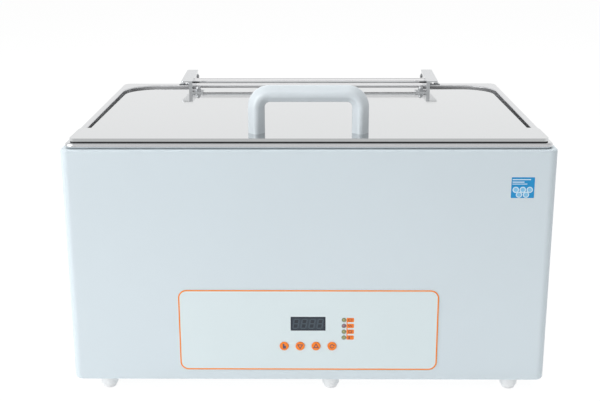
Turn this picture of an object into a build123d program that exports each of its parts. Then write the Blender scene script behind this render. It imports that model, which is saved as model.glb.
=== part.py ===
from build123d import *
import os
from math import cos, radians, sin, tan

# Thermoplastic splint heater: a heated water bath in a painted sheet housing.
# Millimetres, Z up, X to the right, Y to the back.
# The origin is on the table under the middle of the whole outline.

os.makedirs("parts", exist_ok=True)

# Fits shared by all pieces
free_gap = 0.3          # between bodies that move past each other
seat_gap = 0.02         # between a fastener and its own hole
running_fit = 0.05      # radial, pins that turn in a bore
slide_fit = 0.15        # radial, keys in their holes

# Housing, a folded and painted sheet box
housing_width = 584.0
housing_depth = 420.0
housing_height = 294.5
housing_sheet = 1.5
housing_corner_r = 10.0
housing_top_r = 2.0
housing_bottom_r = 5.0
return_side_gap = 2.5       # top return's edge outside the tank's opening, at the sides
return_end_gap = 9.0        # the same at front and back
bottom_return_side = 22.0
bottom_return_end = 36.0

# Base plate with its vent slots
plate_sheet = 1.5
plate_overlap = 14.0        # how far the plate lies over the bottom return
vent_length = 46.0
vent_width = 5.0
vent_pitch = 14.0
vent_count = 9
vent_row_x = 150.0

# Feet
foot_height = 16.5
foot_radius = 10.5
foot_flat_radius = 7.5
foot_side_height = 6.0
foot_bore_radius = 4.6
foot_bore_depth = 9.0
foot_side = 40.0            # from the housing's side face
foot_mid_x = 28.0
foot_inset = 20.0           # from the housing's front or back face

# Small fasteners
screw_m4_r = 2.0
screw_m4_head_r = 3.9
screw_m4_head = 2.4
screw_m3_r = 1.5
screw_m3_head_r = 2.8
screw_m3_head = 1.9
nut_m4_r = 4.0              # across the corners
nut_m4 = 3.2
nut_room = 1.0              # round the feet's nuts
plate_screw_length = 8.0
foot_screw_end = 1.3        # shank past its nut

# Deep drawn tank with a raised flange and a rolled outer bead
tank_sheet = 1.5
rim_height = 7.0
rim_inset = 4.65            # bead's outer face behind the housing's faces
rim_corner_r = 11.0
bead_width = 5.5
bead_round_r = 3.4
flange_side = 12.5          # from the housing's side face to the opening
flange_end = 23.0           # from the housing's front or back face to the opening
opening_corner_r = 48.0
opening_edge_r = 2.0        # where the flange turns down into the tank
tank_depth = 150.0
tank_draft = 2.0
tank_floor_r = 22.0

# Lid, a folded stainless pan that slopes gently to the back
lid_sheet = 1.2
lid_skirt = 3.7
lid_slope = 0.64
lip_inset = 8.0             # lip behind the housing's front face
strip_inset = 5.85          # front strip's ends inside the tank's bead
strip_depth = 62.0
strip_corner_r = 6.6
stem_gap = 12.1              # between the lid's sides and the tank's opening
stem_corner_r = 44.0
lid_rear_gap = 45.0         # left open behind the lid for steam
tab_gap = 6.3               # from the tab's side to the arm
tab_length = 16.0
tab_corner_r = 5.0
hem_width = 6.0             # lip's folded return that carries the seal
seal_height = 1.3
seal_gap = 0.3              # left under the seal at rest
seal_back = 0.4             # seal's face behind the lip's face
seal_return = 20.0          # how far the seal runs back round the corners
seal_width = 5.0

# Bow handle
handle_spacing = 124.4
handle_height = 57.4
handle_width = 20.3
handle_deep = 23.0
handle_edge_r = 5.0         # rounding of the section's four ridges
handle_bend_r = 16.0
handle_back = 34.5          # from the lip to the handle's middle
handle_thread_depth = 16.0

# Hinge: two lugs on the flange, two arms on the lid and a tie rod
pivot_inset = 9.0           # in front of the housing's back face
pivot_rise = 11.0           # above the flange
pivot_r = 2.5
arm_inner_x = 172.3
arm_bar = 5.0
arm_wing_width = 16.5
arm_wing_sheet = 1.5
arm_wing_corner_r = 3.0
arm_reach = 77.0            # from the pivot to the arm's front end
arm_tail = 8.5              # from the pivot to the wing's back end
wing_gap = 1.36             # between the wing and the ear's top
arm_rise = 2.3              # degrees, wing against level
arm_end_r = 7.5
arm_foot_width = 16.3
arm_foot_front = 12.0       # the foot starts this far before the bar
arm_foot_length = 24.0
arm_foot_sheet = 1.5
arm_screw_side = 8.9        # from the arm's inner face
arm_screw_back = 8.5        # from the foot's front edge
cap_nut_r = 3.9
cap_nut_height = 7.6
cap_nut_hex = 3.4
cap_nut_dome_r = 3.2
cap_nut_round_r = 2.9
lid_screw_length = 7.5
handle_screw_length = 14.0
rod_radius = 4.0
rod_forward = 43.0          # in front of the pivot
rod_drop = 0.65             # between the rod and the wings
rod_socket = 1.2            # how far the rod's ends enter the arms
ear_thickness = 2.0
ear_gap = 0.4
ear_top_r = 6.2             # also the flat back edge, where the open lid comes to rest
ear_front = 12.5
lug_foot_length = 22.0
lug_sheet = 1.5
rivet_r = 2.0
rivet_head_r = 3.5
rivet_tail_r = 2.8
rivet_head = 1.1
rivet_inset = 5.0           # first rivet beside the ear
rivet_pitch = 10.0
lug_foot_depth = 12.0
pin_head_r = 4.5
pin_head = 1.5
clip_r = 4.2
clip_thickness = 0.8
clip_gap = 0.3

# Control panel on the front
panel_width = 317.4
panel_height = 105.6
panel_corner_r = 10.5
panel_rise = 15.1           # panel's lower edge above the housing's base
overlay_thickness = 0.8
controls_x = -0.4
window_width = 42.6
window_height = 18.1
window_rise = 61.55         # heights here are above the panel's lower edge
window_fit = 0.1
display_width = 50.3
display_height = 19.0
display_depth = 8.0
key_radius = 5.5
key_pitch = 19.6
key_rise = 32.0
key_proud = 1.0
key_travel = 0.6
key_edge_r = 0.4
key_collar_r = 6.6
key_collar = 1.2
key_stem_r = 2.0
lamp_radius = 2.4
lamp_proud = 0.5
lamp_edge_r = 1.2
lamp_x = 43.6
lamp_rise = 55.0
lamp_pitch = 7.73
board_width = 120.0
board_height = 62.0
board_x = 6.0
board_rise = 48.4
board_sheet = 1.6
display_seat = 0.7          # between the housing's sheet and the digit module
board_screw_x = 55.0
board_screw_z = 26.0
standoff_r = 3.0
switch_size = 6.0
switch_height = 3.4
plunger_r = 1.7
plunger_height = 0.5
key_slack = 0.1             # left between a pressed key's stem and its switch
key_seat = 0.1              # from a key's collar to the housing's sheet
lamp_flange_r = 2.9
lamp_flange = 1.0
lamp_flange_back = 6.2
lead_width = 0.5
lead_pitch = 2.54
board_screw_length = 6.5
chip_width = 12.0
chip_height = 1.6

# Heating and its safety parts under the tank
mat_side = 47.0             # from the floor's flat edge to the mat, at the sides
mat_end = 20.0              # the same at front and back
mat_corner_r = 10.0
mat_thickness = 3.0
insulation_inset = 7.0      # inside the floor's flat edge
board_insulation = 22.0
pass_gap = 2.0              # round what passes through the board
wrap_thickness = 6.0
wrap_above_floor = 8.0      # over the start of the floor's rounding
wrap_gap = 0.1
wrap_below_flange = 24.0
sensor_r = 3.0
sensor_length = 30.0
sensor_pad = 1.2
sensor_pad_width = 9.0
sensor_bed = 0.4            # rod let into its pad
cutout_r = 8.5
cutout_height = 9.0
cutout_back = 60.0
terminal_thickness = 0.8
terminal_width = 6.0
terminal_length = 8.0

# Power tray on the base plate
tray_x = 60.0
tray_back = 30.0            # in front of the housing's middle
power_board_width = 150.0
power_board_depth = 100.0
power_standoff = 8.0
power_screw_inset = 6.0
core_width = 48.0
core_depth = 40.0
core_height = 40.0
winding_bulge = 7.0
winding_width = 32.0
winding_rise = 7.0
winding_round_r = 4.0
core_offset = 40.0          # from the board's middle
relay_width = 42.0
relay_depth = 11.0
relay_height = 26.0
sink_width = 46.0
sink_depth = 24.0
sink_height = 32.0
sink_base = 5.0
sink_offset = 39.0
fin_count = 7
fin_thickness = 1.6
block_width = 60.0
block_depth = 14.0
block_height = 13.0
pole_count = 6
pole_hole_r = 2.5

# Mains inlet and switch on the back
inlet_side = 92.0           # from the housing's side face
inlet_z = 61.5
inlet_flange_width = 50.0
inlet_flange_height = 24.0
inlet_flange = 3.0
inlet_body_width = 29.0
inlet_body_height = 21.0
inlet_body_depth = 24.0
inlet_socket_width = 24.6
inlet_socket_height = 16.6
inlet_socket_depth = 17.0
inlet_screw_pitch = 40.0
inlet_pin_pitch = 7.0
inlet_pin_offset = 2.0
inlet_pin_length = 14.0
inlet_pin_width = 2.0
inlet_pin_height = 4.0
inlet_tab = 8.0             # pins' tails behind the inlet
inlet_chamfer = 4.0
switch_pitch = 50.0         # from the inlet to the switch
bezel_width = 25.0
bezel_height = 31.0
bezel_proud = 2.0
bezel_wall = 2.6
bezel_depth = 18.0
rocker_tilt = 8.0
rocker_proud = 4.0
rocker_depth = 7.0
rocker_gap = 0.7            # between the rocker's ends and the bezel
rocker_pin_r = 1.5
rocker_pin_reach = 1.0
switch_floor = 7.0          # depth of the bezel's pocket

# Drain: bulkhead fitting, hose and rear valve
drain_margin = 33.0         # from the insulation board's back edge
drain_z = 63.5              # valve's axis above the housing's base
drain_bore_r = 5.0
spigot_r = 7.0
spigot_length = 44.0
drain_flange_r = 17.0
drain_flange = 2.5
drain_edge_r = 1.0
drain_seal_height = 1.5
drain_nut_r = 13.0
drain_nut_height = 7.0
hose_wall = 2.5
hose_grip = 14.0
hose_bend_r = 34.0
valve_r = 12.0
valve_length = 26.0
valve_collar_r = 15.0
valve_collar = 3.0
valve_nut_height = 5.0
tail_grip = 13.0
valve_boss_r = 6.0
valve_boss = 3.0            # boss above the valve's body
plug_r = 7.5
plug_half = 8.5             # half the plug chamber's height
stem_r = 3.0
lever_length = 42.0
lever_width = 10.0
lever_hub_r = 7.5
lever_thickness = 2.5
spout_r = 6.0
spout_length = 18.0
spout_bead = 0.8

# Levels and places that follow from the sizes above
front_proud = overlay_thickness + key_proud
rear_proud = valve_collar + valve_length + spout_length
overall_depth = front_proud + housing_depth + rear_proud
front_y = front_proud - overall_depth / 2
rear_y = front_y + housing_depth
mid_y = (front_y + rear_y) / 2
base_z = foot_height
housing_top = base_z + housing_height
flange_top = housing_top + rim_height
opening_width = housing_width - 2 * flange_side
opening_depth = housing_depth - 2 * flange_end
rim_width = housing_width - 2 * rim_inset
rim_depth = housing_depth - 2 * rim_inset
well_width = opening_width - 2 * opening_edge_r
well_depth = opening_depth - 2 * opening_edge_r
well_corner_r = opening_corner_r - opening_edge_r
floor_narrowing = 2 * (tank_depth * tan(radians(tank_draft)) + tank_floor_r)
floor_width = well_width - floor_narrowing
floor_depth = well_depth - floor_narrowing
mat_width = floor_width - 2 * mat_side
mat_depth = floor_depth - 2 * mat_end
board_insulation_width = floor_width - 2 * insulation_inset
board_insulation_depth = floor_depth - 2 * insulation_inset
wrap_height = tank_depth - tank_floor_r - wrap_below_flange - wrap_above_floor
service_x = (mat_width + board_insulation_width) / 4
drain_x = -service_x
drain_back = board_insulation_depth / 2 - drain_margin
tank_under = flange_top - tank_depth - tank_sheet
plate_top = base_z + housing_sheet + plate_sheet
inlet_x = housing_width / 2 - inlet_side
switch_x = inlet_x - switch_pitch
panel_mid = panel_rise + panel_height / 2
window_z = panel_rise + window_rise
key_z = panel_rise + key_rise
lamp_mid_z = panel_rise + lamp_rise
board_z = panel_rise + board_rise
board_back = housing_sheet + display_seat + display_depth
lip_y = front_y + lip_inset
lid_front_z = flange_top + seal_gap + seal_height + lid_skirt
strip_width = rim_width - 2 * strip_inset
stem_width = opening_width - 2 * stem_gap
opening_rear_y = mid_y + opening_depth / 2
lid_length = opening_rear_y - lid_rear_gap - lip_y
pivot_y = rear_y - pivot_inset
pivot_z = flange_top + pivot_rise
arm_front_y = pivot_y - arm_reach
arm_outer_x = arm_inner_x + arm_bar
arm_screw_x = arm_inner_x - arm_screw_side
tab_width = 2 * (arm_inner_x - tab_gap)
arm_screw_place = arm_front_y - arm_foot_front - lip_y + arm_screw_back
ear_x = arm_outer_x + ear_gap
lamp_steps = (-1.5, -0.5, 0.5, 1.5)
key_places = [("key_function", -1.5), ("key_down", -0.5), ("key_up", 0.5), ("key_program", 1.5)]
board_screw_places = [(board_x + sx * board_screw_x, board_z + sz * board_screw_z)
                      for sx in (-1, 1) for sz in (-1, 1)]
plate_width = housing_width - 2 * bottom_return_side + 2 * plate_overlap
plate_depth = housing_depth - 2 * bottom_return_end + 2 * plate_overlap
plate_screw_places = [(sx * (plate_width - plate_overlap) / 2, sy * (plate_depth - plate_overlap) / 2)
                      for sx in (-1, 0, 1) for sy in (-1, 1)]
foot_x = housing_width / 2 - foot_side
foot_places = [(x, y) for y in (front_y + foot_inset, rear_y - foot_inset) for x in (-foot_x, foot_mid_x, foot_x)]


def lid_z(y):
    """Height of the lid's top face at a distance back."""
    return lid_front_z - tan(radians(lid_slope)) * (y - lip_y)


def front_plane(inward):
    """Upright plane that faces the user, set back from the housing's front face."""
    return Plane(origin=(0, front_y + inward, base_z), x_dir=(1, 0, 0), z_dir=(0, -1, 0))


def rear_plane(inward):
    """Upright plane that faces backwards, set in from the housing's back face."""
    return Plane(origin=(0, rear_y - inward, base_z), x_dir=(-1, 0, 0), z_dir=(0, 1, 0))


def down_plane(z):
    """Level plane that faces down, centred on the housing."""
    return Plane(origin=(0, mid_y, z), x_dir=(1, 0, 0), z_dir=(0, 0, -1))


def level_plane(z):
    """Level plane that faces up, centred on the housing."""
    return Plane(origin=(0, mid_y, z), x_dir=(1, 0, 0), z_dir=(0, 0, 1))


def lid_plane(down=0.0, back=0.0):
    """Plane along the lid's sloping top, from the middle of its front lip."""
    slope = radians(lid_slope)
    normal = Vector(0, sin(slope), cos(slope))
    along = Vector(0, cos(slope), -sin(slope))
    start = Vector(0, lip_y, lid_front_z) + along * back - normal * down
    return Plane(origin=start, x_dir=(1, 0, 0), z_dir=normal)


def drawn_well(grow, height, floor_r):
    """The tank's tapered well as a solid, grown sideways, hanging from the flange."""
    with BuildPart() as well:
        with BuildSketch(down_plane(flange_top)):
            RectangleRounded(well_width + 2 * grow, well_depth + 2 * grow, well_corner_r + grow)
        extrude(amount=height, taper=tank_draft)
        fillet(well.faces().sort_by(Axis.Z)[0].edges(), floor_r)
    return well.part


def pan_screw(place, length, shank_r, head_r, head):
    """Pan head screw: the head's seat lies on the plane, the shank runs against its normal."""
    with BuildPart() as screw:
        with BuildSketch(place):
            Circle(head_r)
        extrude(amount=head)
        fillet(screw.faces().sort_by(Axis(place.origin, place.z_dir))[-1].edges(), head * 0.45)
        with BuildSketch(place):
            Circle(shank_r)
        extrude(amount=-length)
    return screw.part


def save(piece, name):
    """Label a finished piece and write it under its node's name."""
    piece.part.label = name
    export_step(piece.part, f"parts/{name}.step")


# Housing
# The cavity is one block with the outer bends less one sheet.
with BuildPart() as cavity:
    with BuildSketch(level_plane(base_z + housing_sheet)):
        RectangleRounded(housing_width - 2 * housing_sheet, housing_depth - 2 * housing_sheet,
                         housing_corner_r - housing_sheet)
    extrude(amount=housing_height - 2 * housing_sheet)
    fillet(cavity.edges().group_by(Axis.Z)[0], housing_bottom_r - housing_sheet)

with BuildPart() as housing:
    with BuildSketch(level_plane(base_z)):
        RectangleRounded(housing_width, housing_depth, housing_corner_r)
    extrude(amount=housing_height)
    fillet(housing.edges().group_by(Axis.Z)[0], housing_bottom_r)
    fillet(housing.edges().group_by(Axis.Z)[-1], housing_top_r)
    add(cavity.part, mode=Mode.SUBTRACT)
    # Top opening for the tank and bottom opening for the base plate
    with BuildSketch(level_plane(housing_top)):
        RectangleRounded(opening_width + 2 * return_side_gap, opening_depth + 2 * return_end_gap,
                         opening_corner_r)
    extrude(amount=-2 * housing_sheet, mode=Mode.SUBTRACT)
    with BuildSketch(level_plane(base_z)):
        RectangleRounded(housing_width - 2 * bottom_return_side, housing_depth - 2 * bottom_return_end,
                         housing_corner_r)
    extrude(amount=2 * housing_sheet, mode=Mode.SUBTRACT)
    # Screw holes in the bottom return, for the feet and the base plate
    with BuildSketch(level_plane(base_z)):
        with Locations(*[(x, y - mid_y) for x, y in foot_places], *plate_screw_places):
            Circle(screw_m4_r + seat_gap)
    extrude(amount=2 * housing_sheet, mode=Mode.SUBTRACT)
    # Display, key and lamp holes through the front
    with BuildSketch(front_plane(2 * housing_sheet)):
        with Locations((controls_x, window_z)):
            Rectangle(window_width + 2 * window_fit, window_height + 2 * window_fit)
        with Locations(*[(controls_x + step * key_pitch, key_z) for name, step in key_places]):
            Circle(key_radius + slide_fit)
        with Locations(*[(lamp_x, lamp_mid_z + step * lamp_pitch) for step in lamp_steps]):
            Circle(lamp_radius + slide_fit)
    extrude(amount=3 * housing_sheet, mode=Mode.SUBTRACT)
    # Inlet, switch and drain holes through the back
    with BuildSketch(rear_plane(2 * housing_sheet)):
        with Locations((-inlet_x, inlet_z)):
            Rectangle(inlet_body_width + 2 * seat_gap, inlet_body_height + 2 * seat_gap)
        with Locations(*[(-inlet_x + side * inlet_screw_pitch / 2, inlet_z) for side in (-1, 1)]):
            Circle(screw_m3_r + seat_gap)
        with Locations((-switch_x, inlet_z)):
            Rectangle(bezel_width - bezel_wall, bezel_height - bezel_wall)
        with Locations((-drain_x, drain_z)):
            Circle(spigot_r + seat_gap)
    extrude(amount=3 * housing_sheet, mode=Mode.SUBTRACT)
save(housing, "housing")

# Base plate with two rows of vent slots
with BuildPart() as base_plate:
    with BuildSketch(level_plane(base_z + housing_sheet)):
        RectangleRounded(plate_width, plate_depth, housing_corner_r)
        for side in (-1, 1):
            with Locations((side * vent_row_x, 0)):
                with GridLocations(0, vent_pitch, 1, vent_count):
                    SlotOverall(vent_length, vent_width, mode=Mode.SUBTRACT)
        with Locations(*plate_screw_places):
            Circle(screw_m4_r + seat_gap, mode=Mode.SUBTRACT)
        with Locations(*[(x, y - mid_y) for x, y in foot_places]):
            Circle(nut_m4_r + nut_room, mode=Mode.SUBTRACT)
    extrude(amount=plate_sheet)
save(base_plate, "base_plate")

# Base plate screws, driven from below
with BuildPart() as plate_screws:
    for x, y in plate_screw_places:
        under = Plane(origin=(x, mid_y + y, base_z), x_dir=(1, 0, 0), z_dir=(0, 0, -1))
        add(pan_screw(under, plate_screw_length, screw_m4_r, screw_m4_head_r, screw_m4_head))
save(plate_screws, "plate_screws")

# Feet, turned cups with a recessed screw
with BuildPart() as feet:
    for x, y in foot_places:
        with BuildSketch(Plane(origin=(x, y, 0), x_dir=(1, 0, 0), z_dir=(0, -1, 0))):
            with BuildLine():
                Line((foot_flat_radius, 0), (foot_radius, foot_side_height))
                Polyline((foot_radius, foot_side_height), (foot_radius, foot_height),
                         (screw_m4_r + seat_gap, foot_height), (screw_m4_r + seat_gap, foot_bore_depth),
                         (foot_bore_radius, foot_bore_depth), (foot_bore_radius, 0), (foot_flat_radius, 0))
            make_face()
        revolve(axis=Axis((x, y, 0), (0, 0, 1)))
save(feet, "feet")

foot_screw_length = foot_height - foot_bore_depth + housing_sheet + nut_m4 + foot_screw_end
with BuildPart() as foot_screws:
    for x, y in foot_places:
        seat = Plane(origin=(x, y, foot_bore_depth), x_dir=(1, 0, 0), z_dir=(0, 0, -1))
        add(pan_screw(seat, foot_screw_length, screw_m4_r, screw_m4_head_r, screw_m4_head))
save(foot_screws, "foot_screws")

with BuildPart() as foot_nuts:
    with BuildSketch(level_plane(base_z + housing_sheet)):
        with Locations(*[(x, y - mid_y) for x, y in foot_places]):
            RegularPolygon(nut_m4_r, 6)
            Circle(screw_m4_r + seat_gap, mode=Mode.SUBTRACT)
    extrude(amount=nut_m4)
save(foot_nuts, "foot_nuts")

# Tank: raised flange, rolled bead, drawn well with a bent-in edge
rivet_places = [(side * (ear_x + ear_thickness + rivet_inset + step * rivet_pitch),
                 pivot_y - lug_foot_depth / 2 - mid_y) for side in (-1, 1) for step in (0, 1)]
with BuildPart() as tank:
    with BuildSketch(level_plane(housing_top)):
        RectangleRounded(rim_width, rim_depth, rim_corner_r)
    extrude(amount=rim_height)
    fillet(tank.edges().group_by(Axis.Z)[0], bead_round_r)
    fillet(tank.edges().group_by(Axis.Z)[-1], bead_round_r)
    with BuildSketch(level_plane(housing_top)):
        RectangleRounded(rim_width - 2 * bead_width, rim_depth - 2 * bead_width, rim_corner_r - bead_width)
    extrude(amount=rim_height - tank_sheet, mode=Mode.SUBTRACT)
    add(drawn_well(tank_sheet, tank_depth + tank_sheet, tank_floor_r + tank_sheet))
    under_edges = tank.edges().filter_by(lambda e: abs(e.center().Z - flange_top + tank_sheet) < 0.01
                                         and abs(e.center().X) < opening_width / 2
                                         and abs(e.center().Y - mid_y) < opening_depth / 2)
    fillet(under_edges, opening_edge_r - tank_sheet)
    add(drawn_well(0, tank_depth, tank_floor_r), mode=Mode.SUBTRACT)
    top_edges = tank.edges().filter_by(lambda e: abs(e.center().Z - flange_top) < 0.01
                                       and abs(e.center().X) < opening_width / 2
                                       and abs(e.center().Y - mid_y) < opening_depth / 2)
    fillet(top_edges, opening_edge_r)
    with BuildSketch(level_plane(flange_top)):
        with Locations(*rivet_places):
            Circle(rivet_r + seat_gap)
    extrude(amount=-2 * tank_sheet, mode=Mode.SUBTRACT)
    with BuildSketch(level_plane(tank_under - tank_sheet)):
        with Locations((drain_x, drain_back)):
            Circle(spigot_r + seat_gap)
    extrude(amount=3 * tank_sheet, mode=Mode.SUBTRACT)
save(tank, "tank")

# Heating mat glued under the tank floor
with BuildPart() as heating_mat:
    with BuildSketch(down_plane(tank_under)):
        RectangleRounded(mat_width, mat_depth, mat_corner_r)
    extrude(amount=mat_thickness)
save(heating_mat, "heating_mat")

# Insulation board below it, with a pocket for the mat and holes for what passes
with BuildPart() as insulation_board:
    with BuildSketch(down_plane(tank_under)):
        RectangleRounded(board_insulation_width, board_insulation_depth, mat_corner_r)
    extrude(amount=board_insulation)
    with BuildSketch(down_plane(tank_under)):
        RectangleRounded(mat_width + 2 * free_gap, mat_depth + 2 * free_gap, mat_corner_r)
    extrude(amount=mat_thickness, mode=Mode.SUBTRACT)
    with BuildSketch(down_plane(tank_under)):
        with Locations((drain_x, -drain_back)):
            Circle(drain_nut_r + pass_gap)
        with Locations((service_x, 0)):
            Rectangle(sensor_pad_width + 2 * pass_gap, sensor_length + 2 * pass_gap)
        with Locations((service_x, -cutout_back)):
            Circle(cutout_r + pass_gap)
    extrude(amount=board_insulation, mode=Mode.SUBTRACT)
save(insulation_board, "insulation_board")

# Insulation wrapped round the tank's sides
with BuildPart() as insulation_wrap:
    add(drawn_well(tank_sheet + wrap_gap + wrap_thickness, wrap_below_flange + wrap_height, wrap_gap))
    add(drawn_well(tank_sheet + wrap_gap, tank_depth, wrap_gap), mode=Mode.SUBTRACT)
    with BuildSketch(level_plane(flange_top)):
        Rectangle(housing_width, housing_depth)
    extrude(amount=-wrap_below_flange, mode=Mode.SUBTRACT)
save(insulation_wrap, "insulation_wrap")

# Temperature probe on its pad, pressed to the tank floor
with BuildPart() as temperature_sensor:
    with BuildSketch(down_plane(tank_under)):
        with Locations((service_x, 0)):
            Rectangle(sensor_pad_width, sensor_length)
    extrude(amount=sensor_pad)
    with BuildSketch(Plane(origin=(service_x, mid_y, tank_under - sensor_pad - sensor_r + sensor_bed),
                           x_dir=(1, 0, 0), z_dir=(0, 1, 0))):
        Circle(sensor_r)
    extrude(amount=sensor_length / 2, both=True)
save(temperature_sensor, "temperature_sensor")

# Overheat cut-out, a snap disc with two terminals
with BuildPart() as overheat_cutout:
    with BuildSketch(down_plane(tank_under)):
        with Locations((service_x, -cutout_back)):
            Circle(cutout_r)
    extrude(amount=cutout_height)
    with BuildSketch(down_plane(tank_under - cutout_height)):
        with Locations((service_x - cutout_r / 2, -cutout_back), (service_x + cutout_r / 2, -cutout_back)):
            Rectangle(terminal_thickness, terminal_width)
    extrude(amount=terminal_length)
save(overheat_cutout, "overheat_cutout")

# Drain fitting through the tank floor, with its seal and nut
tank_floor = flange_top - tank_depth
with BuildPart() as drain_seal:
    with BuildSketch(level_plane(tank_floor)):
        with Locations((drain_x, drain_back)):
            Circle(drain_flange_r)
            Circle(spigot_r + seat_gap, mode=Mode.SUBTRACT)
    extrude(amount=drain_seal_height)
save(drain_seal, "drain_seal")

spigot_top = tank_floor + drain_seal_height
with BuildPart() as drain_fitting:
    with BuildSketch(level_plane(spigot_top)):
        with Locations((drain_x, drain_back)):
            Circle(drain_flange_r)
    extrude(amount=drain_flange)
    fillet(drain_fitting.edges().group_by(Axis.Z)[-1], drain_edge_r)
    with BuildSketch(level_plane(spigot_top)):
        with Locations((drain_x, drain_back)):
            Circle(spigot_r)
    extrude(amount=-spigot_length)
    with BuildSketch(level_plane(spigot_top + drain_flange)):
        with Locations((drain_x, drain_back)):
            Circle(drain_bore_r)
    extrude(amount=-spigot_length - drain_flange, mode=Mode.SUBTRACT)
save(drain_fitting, "drain_fitting")

with BuildPart() as drain_nut:
    with BuildSketch(level_plane(tank_under)):
        with Locations((drain_x, drain_back)):
            RegularPolygon(drain_nut_r, 6)
            Circle(spigot_r + seat_gap, mode=Mode.SUBTRACT)
    extrude(amount=-drain_nut_height)
save(drain_nut, "drain_nut")

# Hose from the fitting down and back to the valve's tail
hose_top = spigot_top - spigot_length + hose_grip
hose_end_y = rear_y - housing_sheet - valve_nut_height
valve_z = base_z + drain_z
bend_r = min(hose_bend_r, hose_top - hose_grip - valve_z - free_gap)
with BuildPart() as drain_hose:
    with BuildLine() as route:
        FilletPolyline((drain_x, mid_y + drain_back, hose_top), (drain_x, mid_y + drain_back, valve_z),
                       (drain_x, hose_end_y, valve_z), radius=bend_r)
    with BuildSketch(Plane(origin=(drain_x, mid_y + drain_back, hose_top), x_dir=(1, 0, 0),
                           z_dir=(0, 0, -1))):
        Circle(spigot_r + seat_gap + hose_wall)
        Circle(spigot_r + seat_gap, mode=Mode.SUBTRACT)
    sweep()
save(drain_hose, "drain_hose")


def valve_plane(out):
    """Plane square to the valve's axis, at a distance behind the housing's back."""
    return Plane(origin=(drain_x, rear_y + out, valve_z), x_dir=(-1, 0, 0), z_dir=(0, 1, 0))


# Drain valve body: tail through the wall, collar, plug chamber and hose spout
plug_y = valve_collar + valve_length / 2
with BuildPart() as drain_valve:
    with BuildSketch(valve_plane(0)):
        Circle(spigot_r)
    extrude(amount=-housing_sheet - valve_nut_height - tail_grip)
    with BuildSketch(valve_plane(0)):
        Circle(valve_collar_r)
    extrude(amount=valve_collar)
    with BuildSketch(valve_plane(valve_collar)):
        Circle(valve_r)
    extrude(amount=valve_length)
    with BuildSketch(valve_plane(valve_collar + valve_length)):
        Circle(spout_r)
    extrude(amount=spout_length)
    with BuildSketch(valve_plane(valve_collar + valve_length + spout_length)):
        Circle(spout_r + spout_bead)
    extrude(amount=-3 * spout_bead)
    with BuildSketch(Plane(origin=(drain_x, rear_y + plug_y, valve_z), z_dir=(0, 0, 1))):
        Circle(valve_boss_r)
    extrude(amount=valve_r + valve_boss)
    with BuildSketch(valve_plane(-housing_sheet - valve_nut_height - tail_grip)):
        Circle(drain_bore_r)
    extrude(amount=housing_sheet + valve_nut_height + tail_grip + rear_proud, mode=Mode.SUBTRACT)
    with BuildSketch(Plane(origin=(drain_x, rear_y + plug_y, valve_z - plug_half), z_dir=(0, 0, 1))):
        Circle(plug_r + free_gap)
    extrude(amount=2 * plug_half, mode=Mode.SUBTRACT)
    with BuildSketch(Plane(origin=(drain_x, rear_y + plug_y, valve_z), z_dir=(0, 0, 1))):
        Circle(stem_r + running_fit)
    extrude(amount=valve_r + valve_boss, mode=Mode.SUBTRACT)
save(drain_valve, "drain_valve")

with BuildPart() as valve_nut:
    with BuildSketch(valve_plane(-housing_sheet)):
        RegularPolygon(drain_nut_r, 6)
        Circle(spigot_r + seat_gap, mode=Mode.SUBTRACT)
    extrude(amount=-valve_nut_height)
save(valve_nut, "valve_nut")

# Plug and its lever, shut at rest with the plug's bore across the flow
with BuildPart() as drain_plug:
    with BuildSketch(Plane(origin=(drain_x, rear_y + plug_y, valve_z - plug_half + free_gap),
                           z_dir=(0, 0, 1))):
        Circle(plug_r)
    extrude(amount=2 * (plug_half - free_gap))
    with BuildSketch(Plane(origin=(drain_x, rear_y + plug_y, valve_z), z_dir=(0, 0, 1))):
        Circle(stem_r)
    extrude(amount=valve_r + valve_boss + free_gap)
    with BuildSketch(Plane(origin=(drain_x, rear_y + plug_y, valve_z), z_dir=(1, 0, 0))):
        Circle(drain_bore_r)
    extrude(amount=plug_r, both=True, mode=Mode.SUBTRACT)
save(drain_plug, "drain_plug")

lever_z = valve_z + valve_r + valve_boss + free_gap
with BuildPart() as drain_lever:
    with BuildSketch(Plane.XY.offset(lever_z)):
        with Locations((drain_x, rear_y + plug_y)):
            Circle(lever_hub_r)
        with Locations((drain_x + lever_length / 2, rear_y + plug_y)):
            SlotCenterToCenter(lever_length, lever_width)
    extrude(amount=lever_thickness)
save(drain_lever, "drain_lever")

# Hinge lugs riveted to the flange behind the tank
for side, hand in ((1, "right"), (-1, "left")):
    with BuildPart() as hinge_lug:
        with BuildSketch(Plane.YZ.offset(side * ear_x)):
            with Locations((pivot_y, pivot_z)):
                Circle(ear_top_r)
            with Locations((pivot_y - ear_front, flange_top)):
                Rectangle(ear_front + ear_top_r, lug_sheet, align=(Align.MIN, Align.MIN))
            make_hull()
            with Locations((pivot_y, pivot_z)):
                Circle(pivot_r + seat_gap, mode=Mode.SUBTRACT)
        extrude(amount=side * ear_thickness)
        with BuildSketch(level_plane(flange_top)):
            with Locations((side * (ear_x + lug_foot_length / 2), pivot_y - lug_foot_depth / 2 - mid_y)):
                Rectangle(lug_foot_length, lug_foot_depth)
            with Locations(*rivet_places):
                Circle(rivet_r + seat_gap, mode=Mode.SUBTRACT)
        extrude(amount=lug_sheet)
    save(hinge_lug, f"hinge_lug_{hand}")

with BuildPart() as lug_rivets:
    with BuildSketch(level_plane(flange_top + lug_sheet)):
        with Locations(*rivet_places):
            Circle(rivet_head_r)
    extrude(amount=rivet_head)
    with BuildSketch(level_plane(flange_top + lug_sheet)):
        with Locations(*rivet_places):
            Circle(rivet_r)
    extrude(amount=-lug_sheet - tank_sheet - rivet_head)
    with BuildSketch(level_plane(flange_top - tank_sheet)):
        with Locations(*rivet_places):
            Circle(rivet_tail_r)
    extrude(amount=-rivet_head)
save(lug_rivets, "lug_rivets")

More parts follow.
